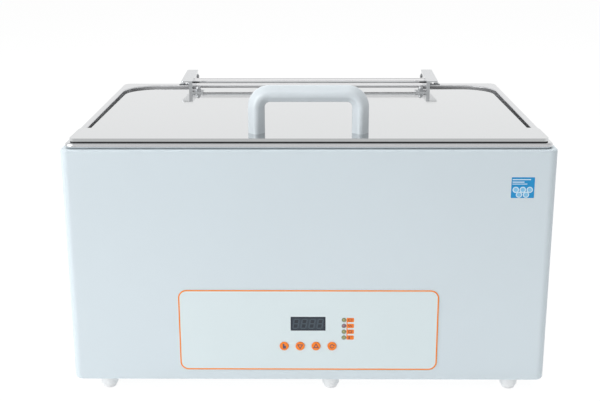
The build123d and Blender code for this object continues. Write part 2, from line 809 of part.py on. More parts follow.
# Hinge pins with a head outside and a spring clip inside
clip_outer_x = arm_inner_x - clip_gap
with BuildPart() as hinge_pins:
    for side in (-1, 1):
        with BuildSketch(Plane.YZ.offset(side * (ear_x + ear_thickness))):
            with Locations((pivot_y, pivot_z)):
                Circle(pin_head_r)
        extrude(amount=side * pin_head)
        with BuildSketch(Plane.YZ.offset(side * (ear_x + ear_thickness))):
            with Locations((pivot_y, pivot_z)):
                Circle(pivot_r)
        extrude(amount=-side * (ear_x + ear_thickness - clip_outer_x + 2 * clip_thickness))
save(hinge_pins, "hinge_pins")

with BuildPart() as pin_clips:
    for side in (-1, 1):
        with BuildSketch(Plane.YZ.offset(side * clip_outer_x)):
            with Locations((pivot_y, pivot_z)):
                Circle(clip_r)
                Circle(pivot_r + seat_gap, mode=Mode.SUBTRACT)
            with Locations((pivot_y, pivot_z - clip_r)):
                Rectangle(pivot_r, 2 * (clip_r - pivot_r), mode=Mode.SUBTRACT)
        extrude(amount=-side * clip_thickness)
save(pin_clips, "pin_clips")

# Lid: a front strip with rounded corners, a narrower stem and a tab at the back
with BuildPart() as lid:
    with BuildSketch(lid_plane()) as outline:
        with Locations((0, strip_depth / 2)):
            RectangleRounded(strip_width, strip_depth, strip_corner_r)
        with Locations((0, lid_length)):
            Rectangle(stem_width, lid_length - strip_corner_r, align=(Align.CENTER, Align.MAX))
        fillet(outline.vertices().group_by(Axis.Y)[-1], stem_corner_r)
        with Locations((0, lid_length + tab_length)):
            Rectangle(tab_width, 2 * tab_length, align=(Align.CENTER, Align.MAX))
        fillet(outline.vertices().group_by(Axis.Y)[-1], tab_corner_r)
    extrude(amount=-lid_skirt)
    with BuildSketch(lid_plane(lid_skirt)):
        add(outline.sketch_local)
        offset(amount=-lid_sheet, mode=Mode.REPLACE)
    extrude(amount=lid_skirt - lid_sheet, mode=Mode.SUBTRACT)
    # Hem behind the lip
    with BuildSketch(lid_plane(lid_skirt)):
        with Locations((0, strip_depth / 2)):
            RectangleRounded(strip_width, strip_depth, strip_corner_r)
            RectangleRounded(strip_width - 2 * hem_width, strip_depth - 2 * hem_width,
                             strip_corner_r - hem_width, mode=Mode.SUBTRACT)
        with Locations((0, seal_return)):
            Rectangle(strip_width, strip_depth, align=(Align.CENTER, Align.MIN), mode=Mode.SUBTRACT)
    extrude(amount=lid_sheet)
    # Holes for the handle's and the arms' screws
    with BuildSketch(lid_plane()):
        with Locations((-handle_spacing / 2, handle_back), (handle_spacing / 2, handle_back),
                       (-arm_screw_x, arm_screw_place), (arm_screw_x, arm_screw_place)):
            Circle(screw_m4_r + seat_gap)
    extrude(amount=-2 * lid_sheet, mode=Mode.SUBTRACT)
save(lid, "lid")

# Rubber seal under the hem
with BuildPart() as lid_seal:
    seal_end_r = strip_corner_r - seal_back
    with BuildSketch(lid_plane(lid_skirt)):
        with Locations((0, strip_depth / 2)):
            RectangleRounded(strip_width - 2 * seal_back, strip_depth - 2 * seal_back, seal_end_r)
            RectangleRounded(strip_width - 2 * (seal_back + seal_width),
                             strip_depth - 2 * (seal_back + seal_width),
                             seal_end_r - seal_width, mode=Mode.SUBTRACT)
        with Locations((0, seal_return)):
            Rectangle(strip_width, strip_depth, align=(Align.CENTER, Align.MIN), mode=Mode.SUBTRACT)
    extrude(amount=-seal_height)
save(lid_seal, "lid_seal")


def lid_screw_plane(x, back):
    """Plane under the lid's sheet, facing down, at a screw's place."""
    seat = lid_plane(lid_sheet, back)
    return Plane(origin=seat.origin + Vector(x, 0, 0), x_dir=(1, 0, 0), z_dir=-seat.z_dir)


# Bow handle of rounded rhombic section
with BuildPart() as lid_handle:
    stand = lid_plane(0, handle_back)
    crest = handle_height - handle_width / 2
    corners = [(-handle_spacing / 2, 0, 0), (-handle_spacing / 2, 0, crest),
               (handle_spacing / 2, 0, crest), (handle_spacing / 2, 0, 0)]
    with BuildLine() as bow:
        FilletPolyline(*[stand.from_local_coords(corner) for corner in corners], radius=handle_bend_r)
    with BuildSketch(Plane(origin=stand.from_local_coords(corners[0]), x_dir=(1, 0, 0), z_dir=stand.z_dir)):
        with Locations((handle_width / 2 - handle_edge_r, 0), (handle_edge_r - handle_width / 2, 0),
                       (0, handle_deep / 2 - handle_edge_r), (0, handle_edge_r - handle_deep / 2)):
            Circle(handle_edge_r)
        make_hull()
    sweep()
    with BuildSketch(stand):
        with Locations((-handle_spacing / 2, 0), (handle_spacing / 2, 0)):
            Circle(screw_m4_r + seat_gap)
    extrude(amount=handle_thread_depth, mode=Mode.SUBTRACT)
save(lid_handle, "lid_handle")

with BuildPart() as handle_screws:
    for side in (-1, 1):
        add(pan_screw(lid_screw_plane(side * handle_spacing / 2, handle_back), handle_screw_length,
                      screw_m4_r, screw_m4_head_r, screw_m4_head))
save(handle_screws, "handle_screws")


def wing_z(y):
    """Height of the arm wing's underside at a distance back."""
    return pivot_z + ear_top_r + wing_gap - tan(radians(arm_rise)) * (pivot_y - y)


# Hinge arms: an upright bar, a flat wing outwards and a foot on the lid
rod_y = pivot_y - rod_forward
rod_z = wing_z(rod_y) - rod_radius - rod_drop
lid_end_y = lip_y + lid_length
foot_back = arm_front_y - arm_foot_front - lip_y
rise = radians(arm_rise)
for side, hand in ((1, "right"), (-1, "left")):
    with BuildPart() as arm:
        with BuildSketch(Plane.YZ.offset(side * arm_inner_x)):
            with BuildLine():
                Polyline((arm_front_y, lid_z(arm_front_y)), (lid_end_y, lid_z(lid_end_y)),
                         (pivot_y, pivot_z - arm_end_r), (pivot_y, wing_z(pivot_y)),
                         (arm_front_y, wing_z(arm_front_y)), close=True)
            make_face()
            with Locations((pivot_y, pivot_z)):
                Circle(arm_end_r)
        extrude(amount=side * arm_bar)
        with BuildSketch(Plane(origin=(0, arm_front_y, wing_z(arm_front_y)), x_dir=(1, 0, 0),
                               z_dir=(0, -sin(rise), cos(rise)))) as wing:
            with Locations((side * (arm_inner_x + arm_wing_width / 2), 0)):
                Rectangle(arm_wing_width, (arm_reach + arm_tail) / cos(rise), align=(Align.CENTER, Align.MIN))
            fillet(wing.vertices().sort_by(Axis.X)[-2:] if side > 0 else wing.vertices().sort_by(Axis.X)[:2],
                   arm_wing_corner_r)
        extrude(amount=arm_wing_sheet)
        with BuildSketch(lid_plane(0, foot_back)):
            with Locations((side * (arm_inner_x - arm_foot_width / 2), arm_foot_length / 2)):
                Rectangle(arm_foot_width, arm_foot_length)
            with Locations((side * arm_screw_x, arm_screw_back)):
                Circle(screw_m4_r + seat_gap, mode=Mode.SUBTRACT)
        extrude(amount=arm_foot_sheet)
        with BuildSketch(Plane.YZ.offset(side * arm_inner_x)):
            with Locations((pivot_y, pivot_z)):
                Circle(pivot_r + running_fit)
        extrude(amount=side * arm_bar, mode=Mode.SUBTRACT)
        with BuildSketch(Plane.YZ.offset(side * arm_inner_x)):
            with Locations((rod_y, rod_z)):
                Circle(rod_radius + seat_gap)
        extrude(amount=side * rod_socket, mode=Mode.SUBTRACT)
    save(arm, f"arm_{hand}")

# Tie rod between the arms
with BuildPart() as tie_rod:
    with BuildSketch(Plane.YZ):
        with Locations((rod_y, rod_z)):
            Circle(rod_radius)
    extrude(amount=arm_inner_x + rod_socket, both=True)
save(tie_rod, "tie_rod")

# Arm screws and their cap nuts
with BuildPart() as arm_screws:
    for side in (-1, 1):
        add(pan_screw(lid_screw_plane(side * arm_screw_x, arm_screw_place), lid_screw_length,
                      screw_m4_r, screw_m4_head_r, screw_m4_head))
save(arm_screws, "arm_screws")

with BuildPart() as cap_nuts:
    with BuildSketch(lid_plane(-arm_foot_sheet, arm_screw_place)):
        with Locations((-arm_screw_x, 0), (arm_screw_x, 0)):
            RegularPolygon(cap_nut_r, 6)
    extrude(amount=cap_nut_hex)
    with BuildSketch(lid_plane(-arm_foot_sheet, arm_screw_place)):
        with Locations((-arm_screw_x, 0), (arm_screw_x, 0)):
            Circle(cap_nut_dome_r)
    extrude(amount=cap_nut_height)
    fillet(cap_nuts.faces().group_by(Axis.Z)[-1].edges(), cap_nut_round_r)
    with BuildSketch(lid_plane(-arm_foot_sheet, arm_screw_place)):
        with Locations((-arm_screw_x, 0), (arm_screw_x, 0)):
            Circle(screw_m4_r + seat_gap)
    extrude(amount=lid_screw_length - lid_sheet - arm_foot_sheet + free_gap, mode=Mode.SUBTRACT)
save(cap_nuts, "cap_nuts")

# Control panel overlay with its window, key and lamp openings
with BuildPart() as panel_overlay:
    with BuildSketch(front_plane(0)):
        with Locations((0, panel_mid)):
            RectangleRounded(panel_width, panel_height, panel_corner_r)
        with Locations((controls_x, window_z)):
            Rectangle(window_width + 2 * window_fit, window_height + 2 * window_fit, mode=Mode.SUBTRACT)
        with Locations(*[(controls_x + step * key_pitch, key_z) for name, step in key_places]):
            Circle(key_radius + slide_fit, mode=Mode.SUBTRACT)
        with Locations(*[(lamp_x, lamp_mid_z + step * lamp_pitch) for step in lamp_steps]):
            Circle(lamp_radius + slide_fit, mode=Mode.SUBTRACT)
    extrude(amount=overlay_thickness)
save(panel_overlay, "panel_overlay")

# Dark window flush with the overlay, and the digit module behind it
module_front = board_back - display_depth
with BuildPart() as display_window:
    with BuildSketch(front_plane(module_front - free_gap)):
        with Locations((controls_x, window_z)):
            Rectangle(window_width, window_height)
    extrude(amount=module_front - free_gap + overlay_thickness)
save(display_window, "display_window")

with BuildPart() as display_module:
    with BuildSketch(front_plane(board_back)):
        with Locations((controls_x, window_z)):
            Rectangle(display_width, display_height)
    extrude(amount=display_depth)
save(display_module, "display_module")

# Control board with its four push switches and a chip on the back
with BuildPart() as control_board:
    with BuildSketch(front_plane(board_back)):
        with Locations((board_x, board_z)):
            Rectangle(board_width, board_height)
        with Locations(*board_screw_places):
            Circle(screw_m3_r + seat_gap, mode=Mode.SUBTRACT)
    extrude(amount=-board_sheet)
    with BuildSketch(front_plane(board_back)):
        with Locations(*[(controls_x + step * key_pitch, key_z) for name, step in key_places]):
            Rectangle(switch_size, switch_size)
    extrude(amount=switch_height)
    with BuildSketch(front_plane(board_back - switch_height)):
        with Locations(*[(controls_x + step * key_pitch, key_z) for name, step in key_places]):
            Circle(plunger_r)
    extrude(amount=plunger_height)
    with BuildSketch(front_plane(board_back + board_sheet)):
        with Locations((board_x, board_z)):
            Rectangle(chip_width, chip_width)
    extrude(amount=-chip_height)
save(control_board, "control_board")

# Board standoffs on the housing's inner face and the screws that hold the board
with BuildPart() as board_standoffs:
    with BuildSketch(front_plane(housing_sheet)):
        with Locations(*board_screw_places):
            Circle(standoff_r)
    extrude(amount=housing_sheet - board_back)
    with BuildSketch(front_plane(board_back)):
        with Locations(*board_screw_places):
            Circle(screw_m3_r + seat_gap)
    extrude(amount=board_screw_length - board_sheet + free_gap, mode=Mode.SUBTRACT)
save(board_standoffs, "board_standoffs")

with BuildPart() as board_screws:
    for x, z in board_screw_places:
        seat = Plane(origin=(x, front_y + board_back + board_sheet, base_z + z), x_dir=(1, 0, 0),
                     z_dir=(0, 1, 0))
        add(pan_screw(seat, board_screw_length, screw_m3_r, screw_m3_head_r, screw_m3_head))
save(board_screws, "board_screws")

# Status lamps on two leads each, the second from the top in another colour
for lamp_name, steps in (("status_lamps_green", (-1.5, -0.5, 1.5)), ("status_lamp_red", (0.5,))):
    places = [(lamp_x, lamp_mid_z + step * lamp_pitch) for step in steps]
    with BuildPart() as lamps:
        with BuildSketch(front_plane(lamp_flange_back + lamp_flange)):
            with Locations(*places):
                Circle(lamp_radius)
        extrude(amount=lamp_flange_back + lamp_flange + overlay_thickness + lamp_proud)
        fillet(lamps.faces().sort_by(Axis.Y).group_by(Axis.Y)[0].edges(), lamp_edge_r)
        with BuildSketch(front_plane(lamp_flange_back + lamp_flange)):
            with Locations(*places):
                Circle(lamp_flange_r)
        extrude(amount=lamp_flange)
        with BuildSketch(front_plane(board_back)):
            with Locations(*[(x + side * lead_pitch / 2, z) for x, z in places for side in (-1, 1)]):
                Rectangle(lead_width, lead_width)
        extrude(amount=board_back - lamp_flange_back - lamp_flange)
    save(lamps, lamp_name)

# Keys: a cap, a collar behind the sheet and a stem towards the switch
collar_front = housing_sheet + key_seat
stem_end = board_back - switch_height - plunger_height - key_travel - key_slack
for name, step in key_places:
    place = (controls_x + step * key_pitch, key_z)
    with BuildPart() as key:
        with BuildSketch(front_plane(collar_front)):
            with Locations(place):
                Circle(key_radius)
        extrude(amount=collar_front + overlay_thickness + key_proud)
        fillet(key.faces().sort_by(Axis.Y)[0].edges(), key_edge_r)
        with BuildSketch(front_plane(collar_front)):
            with Locations(place):
                Circle(key_collar_r)
        extrude(amount=-key_collar)
        with BuildSketch(front_plane(collar_front)):
            with Locations(place):
                Circle(key_stem_r)
        extrude(amount=collar_front - stem_end)
    save(key, name)

# Power board on standoffs over the base plate
power_y = -tray_back
board_floor = plate_top + power_standoff
power_corners = [(tray_x + sx * (power_board_width / 2 - power_screw_inset),
                  power_y + sy * (power_board_depth / 2 - power_screw_inset))
                 for sx in (-1, 1) for sy in (-1, 1)]
with BuildPart() as power_standoffs:
    with BuildSketch(level_plane(plate_top)):
        with Locations(*power_corners):
            Circle(standoff_r)
    extrude(amount=power_standoff)
    with BuildSketch(level_plane(board_floor)):
        with Locations(*power_corners):
            Circle(screw_m3_r + seat_gap)
    extrude(amount=board_sheet - board_screw_length - free_gap, mode=Mode.SUBTRACT)
save(power_standoffs, "power_standoffs")

with BuildPart() as power_board:
    with BuildSketch(level_plane(board_floor)):
        with Locations((tray_x, power_y)):
            Rectangle(power_board_width, power_board_depth)
        with Locations(*power_corners):
            Circle(screw_m3_r + seat_gap, mode=Mode.SUBTRACT)
    extrude(amount=board_sheet)
save(power_board, "power_board")

board_top = board_floor + board_sheet
with BuildPart() as power_screws:
    for x, y in power_corners:
        seat = Plane(origin=(x, mid_y + y, board_top), x_dir=(1, 0, 0), z_dir=(0, 0, 1))
        add(pan_screw(seat, board_screw_length, screw_m3_r, screw_m3_head_r, screw_m3_head))
save(power_screws, "power_screws")

# Transformer: a laminated core with its winding
with BuildPart() as transformer:
    with BuildSketch(level_plane(board_top)):
        with Locations((tray_x - core_offset, power_y)):
            Rectangle(core_width, core_depth)
    extrude(amount=core_height)
    with BuildSketch(level_plane(board_top + winding_rise)):
        with Locations((tray_x - core_offset, power_y)):
            RectangleRounded(winding_width, core_depth + 2 * winding_bulge, winding_round_r)
    extrude(amount=core_height - 2 * winding_rise)
save(transformer, "transformer")

# Heater relay screwed to a finned heat sink
sink_x = tray_x + sink_offset
with BuildPart() as heat_sink:
    with BuildSketch(level_plane(board_top)):
        with Locations((sink_x, power_y - sink_depth / 2 + sink_base / 2)):
            Rectangle(sink_width, sink_base)
        with Locations((sink_x, power_y)):
            with GridLocations((sink_width - fin_thickness) / (fin_count - 1), 0, fin_count, 1):
                Rectangle(fin_thickness, sink_depth)
    extrude(amount=sink_height)
save(heat_sink, "heat_sink")

with BuildPart() as heater_relay:
    with BuildSketch(level_plane(board_top)):
        with Locations((sink_x, power_y - sink_depth / 2)):
            Rectangle(relay_width, relay_depth, align=(Align.CENTER, Align.MAX))
    extrude(amount=relay_height)
save(heater_relay, "heater_relay")

# Terminal block for the heater's and the mains' wires
block_y = power_y + power_board_depth / 2 - block_depth
pole_pitch = block_width / pole_count
with BuildPart() as terminal_block:
    with BuildSketch(level_plane(board_top)):
        with Locations((tray_x, block_y)):
            Rectangle(block_width, block_depth)
    extrude(amount=block_height)
    with BuildSketch(level_plane(board_top + block_height)):
        with Locations((tray_x, block_y)):
            with GridLocations(pole_pitch, 0, pole_count, 1):
                Circle(pole_hole_r)
    extrude(amount=-block_height / 2, mode=Mode.SUBTRACT)
save(terminal_block, "terminal_block")

# Mains inlet: flange, body and socket with three pins
pin_places = [(-inlet_x, inlet_z + inlet_pin_offset),
              (-inlet_x - inlet_pin_pitch, inlet_z - inlet_pin_offset),
              (-inlet_x + inlet_pin_pitch, inlet_z - inlet_pin_offset)]
with BuildPart() as mains_inlet:
    with BuildSketch(rear_plane(0)):
        with Locations((-inlet_x, inlet_z)):
            RectangleRounded(inlet_flange_width, inlet_flange_height, inlet_chamfer)
        with Locations(*[(-inlet_x + side * inlet_screw_pitch / 2, inlet_z) for side in (-1, 1)]):
            Circle(screw_m3_r + seat_gap, mode=Mode.SUBTRACT)
    extrude(amount=inlet_flange)
    with BuildSketch(rear_plane(0)):
        with Locations((-inlet_x, inlet_z)):
            Rectangle(inlet_body_width, inlet_body_height)
    extrude(amount=-inlet_body_depth)
    with BuildSketch(rear_plane(-inlet_flange)) as socket:
        with Locations((-inlet_x, inlet_z)):
            Rectangle(inlet_socket_width, inlet_socket_height)
        chamfer(socket.vertices().group_by(Axis.Y)[-1], inlet_chamfer)
    extrude(amount=-inlet_socket_depth, mode=Mode.SUBTRACT)
    with BuildSketch(rear_plane(inlet_body_depth)):
        with Locations(*pin_places):
            Rectangle(inlet_pin_width, inlet_pin_height)
    extrude(amount=inlet_body_depth, mode=Mode.SUBTRACT)
save(mains_inlet, "mains_inlet")

with BuildPart() as inlet_pins:
    with BuildSketch(rear_plane(inlet_body_depth + inlet_tab)):
        with Locations(*pin_places):
            Rectangle(inlet_pin_width - 2 * seat_gap, inlet_pin_height - 2 * seat_gap)
    extrude(amount=inlet_tab + inlet_body_depth + inlet_flange - inlet_socket_depth + inlet_pin_length)
save(inlet_pins, "inlet_pins")

with BuildPart() as inlet_screws:
    for side in (-1, 1):
        seat = Plane(origin=(inlet_x + side * inlet_screw_pitch / 2, rear_y + inlet_flange, base_z + inlet_z),
                     x_dir=(1, 0, 0), z_dir=(0, 1, 0))
        add(pan_screw(seat, board_screw_length, screw_m3_r, screw_m3_head_r, screw_m3_head))
save(inlet_screws, "inlet_screws")

# Mains switch: a snapped-in bezel with a pocket for the rocker and two tabs
with BuildPart() as switch_bezel:
    with BuildSketch(rear_plane(0)):
        with Locations((-switch_x, inlet_z)):
            RectangleRounded(bezel_width, bezel_height, bezel_wall)
    extrude(amount=bezel_proud)
    with BuildSketch(rear_plane(0)):
        with Locations((-switch_x, inlet_z)):
            Rectangle(bezel_width - bezel_wall - 2 * seat_gap, bezel_height - bezel_wall - 2 * seat_gap)
    extrude(amount=-bezel_depth)
    with BuildSketch(rear_plane(-bezel_proud)):
        with Locations((-switch_x, inlet_z)):
            Rectangle(bezel_width - 2 * bezel_wall, bezel_height - 2 * bezel_wall)
    extrude(amount=-bezel_proud - switch_floor, mode=Mode.SUBTRACT)
    with BuildSketch(Plane.YZ.offset(switch_x)):
        with Locations((rear_y, base_z + inlet_z)):
            Circle(rocker_pin_r + running_fit)
    extrude(amount=bezel_width / 2 - bezel_wall + rocker_pin_reach + seat_gap, both=True, mode=Mode.SUBTRACT)
    with BuildSketch(rear_plane(bezel_depth)):
        with Locations((-switch_x, inlet_z - terminal_length), (-switch_x, inlet_z + terminal_length)):
            Rectangle(terminal_width, terminal_thickness)
    extrude(amount=-terminal_length)
save(switch_bezel, "switch_bezel")

# Rocker with a shallow V face, drawn tilted to its off position
tilt = radians(rocker_tilt)
half_height = bezel_height / 2 - bezel_wall - rocker_gap
rocker_outline = [(-rocker_depth / 2, -half_height), (-rocker_depth / 2, half_height),
                  (rocker_proud + half_height * tan(tilt), half_height), (rocker_proud, 0),
                  (rocker_proud + half_height * tan(tilt), -half_height)]
with BuildPart() as switch_rocker:
    with BuildSketch(Plane(origin=(switch_x, rear_y, base_z + inlet_z), x_dir=(0, cos(tilt), sin(tilt)),
                           z_dir=(1, 0, 0))):
        with BuildLine():
            Polyline(*rocker_outline, close=True)
        make_face()
    extrude(amount=bezel_width / 2 - bezel_wall - free_gap, both=True)
    with BuildSketch(Plane(origin=(switch_x, rear_y, base_z + inlet_z), z_dir=(1, 0, 0))):
        Circle(rocker_pin_r)
    extrude(amount=bezel_width / 2 - bezel_wall + rocker_pin_reach, both=True)
save(switch_rocker, "switch_rocker")
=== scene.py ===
import bmesh
import bpy
import numpy as np
from mathutils import Matrix, Vector


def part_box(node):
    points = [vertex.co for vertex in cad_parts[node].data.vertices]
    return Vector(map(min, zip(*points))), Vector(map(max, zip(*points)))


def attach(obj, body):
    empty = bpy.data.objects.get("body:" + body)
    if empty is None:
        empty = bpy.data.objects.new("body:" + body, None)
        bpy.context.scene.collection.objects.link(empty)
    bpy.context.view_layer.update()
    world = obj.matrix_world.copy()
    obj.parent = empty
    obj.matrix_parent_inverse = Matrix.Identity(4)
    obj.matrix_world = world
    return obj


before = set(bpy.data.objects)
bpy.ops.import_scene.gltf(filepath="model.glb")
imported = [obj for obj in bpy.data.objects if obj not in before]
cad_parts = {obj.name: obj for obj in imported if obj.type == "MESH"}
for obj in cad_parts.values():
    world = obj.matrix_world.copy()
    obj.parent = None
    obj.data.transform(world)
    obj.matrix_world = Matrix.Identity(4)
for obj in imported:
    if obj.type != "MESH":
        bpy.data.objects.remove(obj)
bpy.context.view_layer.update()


# Housing: a folded and welded sheet box, powder coated in a pale blue grey satin.
# The coat has a fine orange peel, and a little dust has settled round the foot of the box.
# The base plate below is coated with it, and plain steel screws hold the plate.
def wire(tree, kind, given=None, **settings):
    """Adds a node, sets its properties, and fills its inputs with constants or other nodes' outputs."""
    made = tree.nodes.new(kind)
    for key, value in settings.items():
        setattr(made, key, value)
    for key, value in (given or {}).items():
        if isinstance(value, bpy.types.NodeSocket):
            tree.links.new(value, made.inputs[key])
        else:
            made.inputs[key].default_value = value
    return made


def point(tree):
    """Where the shaded point lies along X, Y and Z, in the part's own frame."""
    place = wire(tree, "ShaderNodeTexCoord")
    return wire(tree, "ShaderNodeSeparateXYZ", {"Vector": place.outputs["Object"]}).outputs


def reckon(tree, operation, *values):
    """One sum, product or comparison of numbers and other nodes' outputs."""
    return wire(tree, "ShaderNodeMath", dict(enumerate(values)), operation=operation).outputs[0]


def pass_over(tree, value, start, end, before, after, kind="SMOOTHSTEP"):
    """Goes from one level to another, softly or evenly, as a value goes from its start to its end."""
    given = {"Value": value, "From Min": start, "From Max": end, "To Min": before, "To Max": after}
    return wire(tree, "ShaderNodeMapRange", given, interpolation_type=kind).outputs["Result"]


def blend(tree, amount, first, second):
    """Goes from a first colour to a second one by an amount between 0 and 1."""
    given = {"Factor": amount, 6: first, 7: second}
    return wire(tree, "ShaderNodeMix", given, data_type="RGBA").outputs[2]


def finish(name, colour, spread=0.04, patch=8.0, grain=400.0, run=(1, 1, 1), gloss=(0.35, 0.45),
           lift=0.2, depth=0.00003, **shine):
    """Finish of one surface. Broad patches and a fine grain, stretched by run, are blended into one
    pattern. It shades the colour by the spread and moves the roughness over its range, and the
    grain is also the relief."""
    low, high, grain_share = 0.3, 0.7, 0.45
    material = bpy.data.materials.new(name)
    material.use_nodes = True
    tree = material.node_tree
    shader = tree.nodes["Principled BSDF"]
    place = wire(tree, "ShaderNodeTexCoord").outputs["Object"]
    stretched = wire(tree, "ShaderNodeMapping", {"Vector": place, "Scale": run}).outputs["Vector"]
    broad = {"Vector": place, "Scale": patch, "Detail": 4.0, "Roughness": 0.6}
    patches = wire(tree, "ShaderNodeTexNoise", broad).outputs["Fac"]
    close = {"Vector": stretched, "Scale": grain, "Detail": 3.0, "Roughness": 0.55}
    grains = wire(tree, "ShaderNodeTexNoise", close).outputs["Fac"]
    both = wire(tree, "ShaderNodeMix", {"Factor": grain_share, 2: patches, 3: grains}).outputs[0]
    ramp = wire(tree, "ShaderNodeValToRGB", {"Fac": both})
    stops = ramp.color_ramp.elements
    for stop, position, level in zip(stops, (low, high), (1 - spread, 1 + spread)):
        stop.position = position
        stop.color = [min(channel * level, 1.0) for channel in colour] + [1.0]
    tree.links.new(ramp.outputs["Color"], shader.inputs["Base Color"])
    rough = pass_over(tree, both, low, high, gloss[0], gloss[1], "LINEAR")
    tree.links.new(rough, shader.inputs["Roughness"])
    relief = wire(tree, "ShaderNodeBump", {"Height": grains, "Strength": lift, "Distance": depth})
    tree.links.new(relief.outputs["Normal"], shader.inputs["Normal"])
    for key, value in shine.items():
        shader.inputs[key.replace("_", " ")].default_value = value
    return material


def tone(red, green, blue):
    """A colour as read on a screen, 0 to 255, turned into the linear values that shaders take."""
    shown = np.array([red, green, blue]) / 255
    return tuple(np.where(shown <= 0.04045, shown / 12.92, ((shown + 0.055) / 1.055) ** 2.4).tolist())


def dress(material, *names):
    """Gives CAD nodes a finish through their own material slots."""
    for name in names:
        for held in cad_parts[name].material_slots:
            held.material = material


def lay(material, amount, colour):
    """Lays a colour over a finish by an amount between 0 and 1."""
    tree = material.node_tree
    shade = tree.nodes["Principled BSDF"].inputs["Base Color"]
    tree.links.new(blend(tree, amount, shade.links[0].from_socket, (*colour, 1.0)), shade)


def settle(material, colour, low, high, most, scale=14.0):
    """Lays dust or wear over a finish: full at the low height, gone at the high one, broken up by
    a noise that never lets through more than its most."""
    thin, thick = 0.35, 0.7
    tree = material.node_tree
    place = wire(tree, "ShaderNodeTexCoord").outputs["Object"]
    cloud = wire(tree, "ShaderNodeTexNoise", {"Vector": place, "Scale": scale, "Detail": 6.0})
    broken = pass_over(tree, cloud.outputs["Fac"], thin, thick, 0.0, most, "LINEAR")
    faded = pass_over(tree, point(tree)["Z"], low, high, 1.0, 0.0)
    lay(material, reckon(tree, "MULTIPLY", faded, broken), colour)


paint = finish("housing_paint", tone(207, 218, 224), spread=0.012, patch=5.0, grain=520.0,
               gloss=(0.38, 0.46), lift=0.12, depth=0.00004, Coat_Weight=0.08, Coat_Roughness=0.25)
settle(paint, tone(190, 196, 196), low=0.017, high=0.035, most=0.15)
dress(paint, "housing", "base_plate")

steel_screw = finish("screw_steel", tone(176, 178, 180), spread=0.08, patch=180.0, grain=2400.0,
                     gloss=(0.24, 0.4), lift=0.2, depth=0.00002, Metallic=1.0)
dress(steel_screw, "plate_screws")

# Feet: six turned cups of white plastic, each held by a recessed screw and a nut.
# Their lower rims have greyed where they stand.
foot_white = finish("foot_plastic", tone(236, 237, 238), spread=0.015, patch=60.0, grain=1500.0,
                    gloss=(0.42, 0.55), lift=0.15, depth=0.00003)
settle(foot_white, tone(190, 188, 184), low=0.0, high=0.005, most=0.25, scale=160.0)
dress(foot_white, "feet")
dress(steel_screw, "foot_screws", "foot_nuts")

# Tank: deep drawn stainless sheet with a rolled bead round a raised flange.
# The flange is ground along its length, the well keeps the satin of the drawing and a little lime,
# and the edge of the opening is blasted matt towards the back.
tank_steel = finish("tank_steel", tone(208, 209, 211), spread=0.03, patch=6.0, grain=1600.0,
                    run=(0.03, 1, 1), gloss=(0.05, 0.12), lift=0.06, depth=0.00001, Metallic=1.0)
settle(tank_steel, tone(214, 212, 205), low=0.165, high=0.24, most=0.3, scale=30.0)
blast_start, blast_full, blast_least, blast_most, blast_drop = 0.12, 0.175, 0.05, 1.0, 0.0003
edge_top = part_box("tank")[1][2] - blast_drop
tree = tank_steel.node_tree
spot = point(tree)
blasted = pass_over(tree, spot["Y"], blast_start, blast_full, blast_least, blast_most)
in_opening = reckon(tree, "LESS_THAN", spot["Z"], edge_top)
metal_share = reckon(tree, "SUBTRACT", 1.0, reckon(tree, "MULTIPLY", blasted, in_opening))
tree.links.new(metal_share, tree.nodes["Principled BSDF"].inputs["Metallic"])
dress(tank_steel, "tank")

# Heating mat: moulded silicone glued under the tank's floor, with the weave of its glass cloth.
# The boards and the wrap round the tank are pressed mineral fibre.
# The temperature sensor and the overheat cut-out are turned aluminium.
mat_silicone = finish("mat_silicone", tone(188, 92, 52), spread=0.06, patch=20.0, grain=900.0,
                      gloss=(0.55, 0.7), lift=0.5, depth=0.0002)
dress(mat_silicone, "heating_mat")
fibre = finish("mineral_fibre", tone(214, 208, 190), spread=0.12, patch=45.0, grain=420.0,
               run=(1, 1, 0.3), gloss=(0.85, 0.98), lift=0.8, depth=0.0008)
dress(fibre, "insulation_board", "insulation_wrap")
probe_metal = finish("probe_aluminium", tone(196, 198, 201), spread=0.06, patch=90.0, grain=1800.0,
                     gloss=(0.3, 0.45), lift=0.2, depth=0.00003, Metallic=1.0)
dress(probe_metal, "temperature_sensor", "overheat_cutout")

# Drain: a steel fitting sealed in the tank's floor, a silicone hose and a plated valve on the back.
# Brass nuts hold both, and a red dipped lever turns the brass plug.
rubber = finish("seal_rubber", tone(38, 39, 41), spread=0.15, patch=50.0, grain=1400.0,
                gloss=(0.5, 0.68), lift=0.25, depth=0.00004)
dress(rubber, "drain_seal")
turned_steel = finish("turned_steel", tone(196, 197, 199), spread=0.05, patch=90.0, grain=2200.0,
                      run=(1, 1, 0.1), gloss=(0.18, 0.3), lift=0.2, depth=0.00002, Metallic=1.0)
dress(turned_steel, "drain_fitting")
brass = finish("turned_brass", tone(206, 176, 112), spread=0.07, patch=80.0, grain=1800.0,
               run=(1, 0.1, 1), gloss=(0.22, 0.36), lift=0.2, depth=0.00003, Metallic=1.0)
dress(brass, "drain_nut", "valve_nut", "drain_plug")
hose_silicone = finish("hose_silicone", tone(186, 186, 182), spread=0.04, patch=30.0, grain=1000.0,
                       gloss=(0.4, 0.55), lift=0.2, depth=0.00005, Subsurface_Weight=0.05)
dress(hose_silicone, "drain_hose")
nickel = finish("nickel_plate", tone(206, 205, 200), spread=0.04, patch=70.0, grain=2000.0,
                run=(1, 0.12, 1), gloss=(0.12, 0.24), lift=0.15, depth=0.00003, Metallic=1.0)
dress(nickel, "drain_valve")
lever_red = finish("lever_dip", tone(176, 30, 24), spread=0.06, patch=90.0, grain=1100.0,
                   gloss=(0.28, 0.4), lift=0.25, depth=0.00005, Coat_Weight=0.3, Coat_Roughness=0.2)
dress(lever_red, "drain_lever")

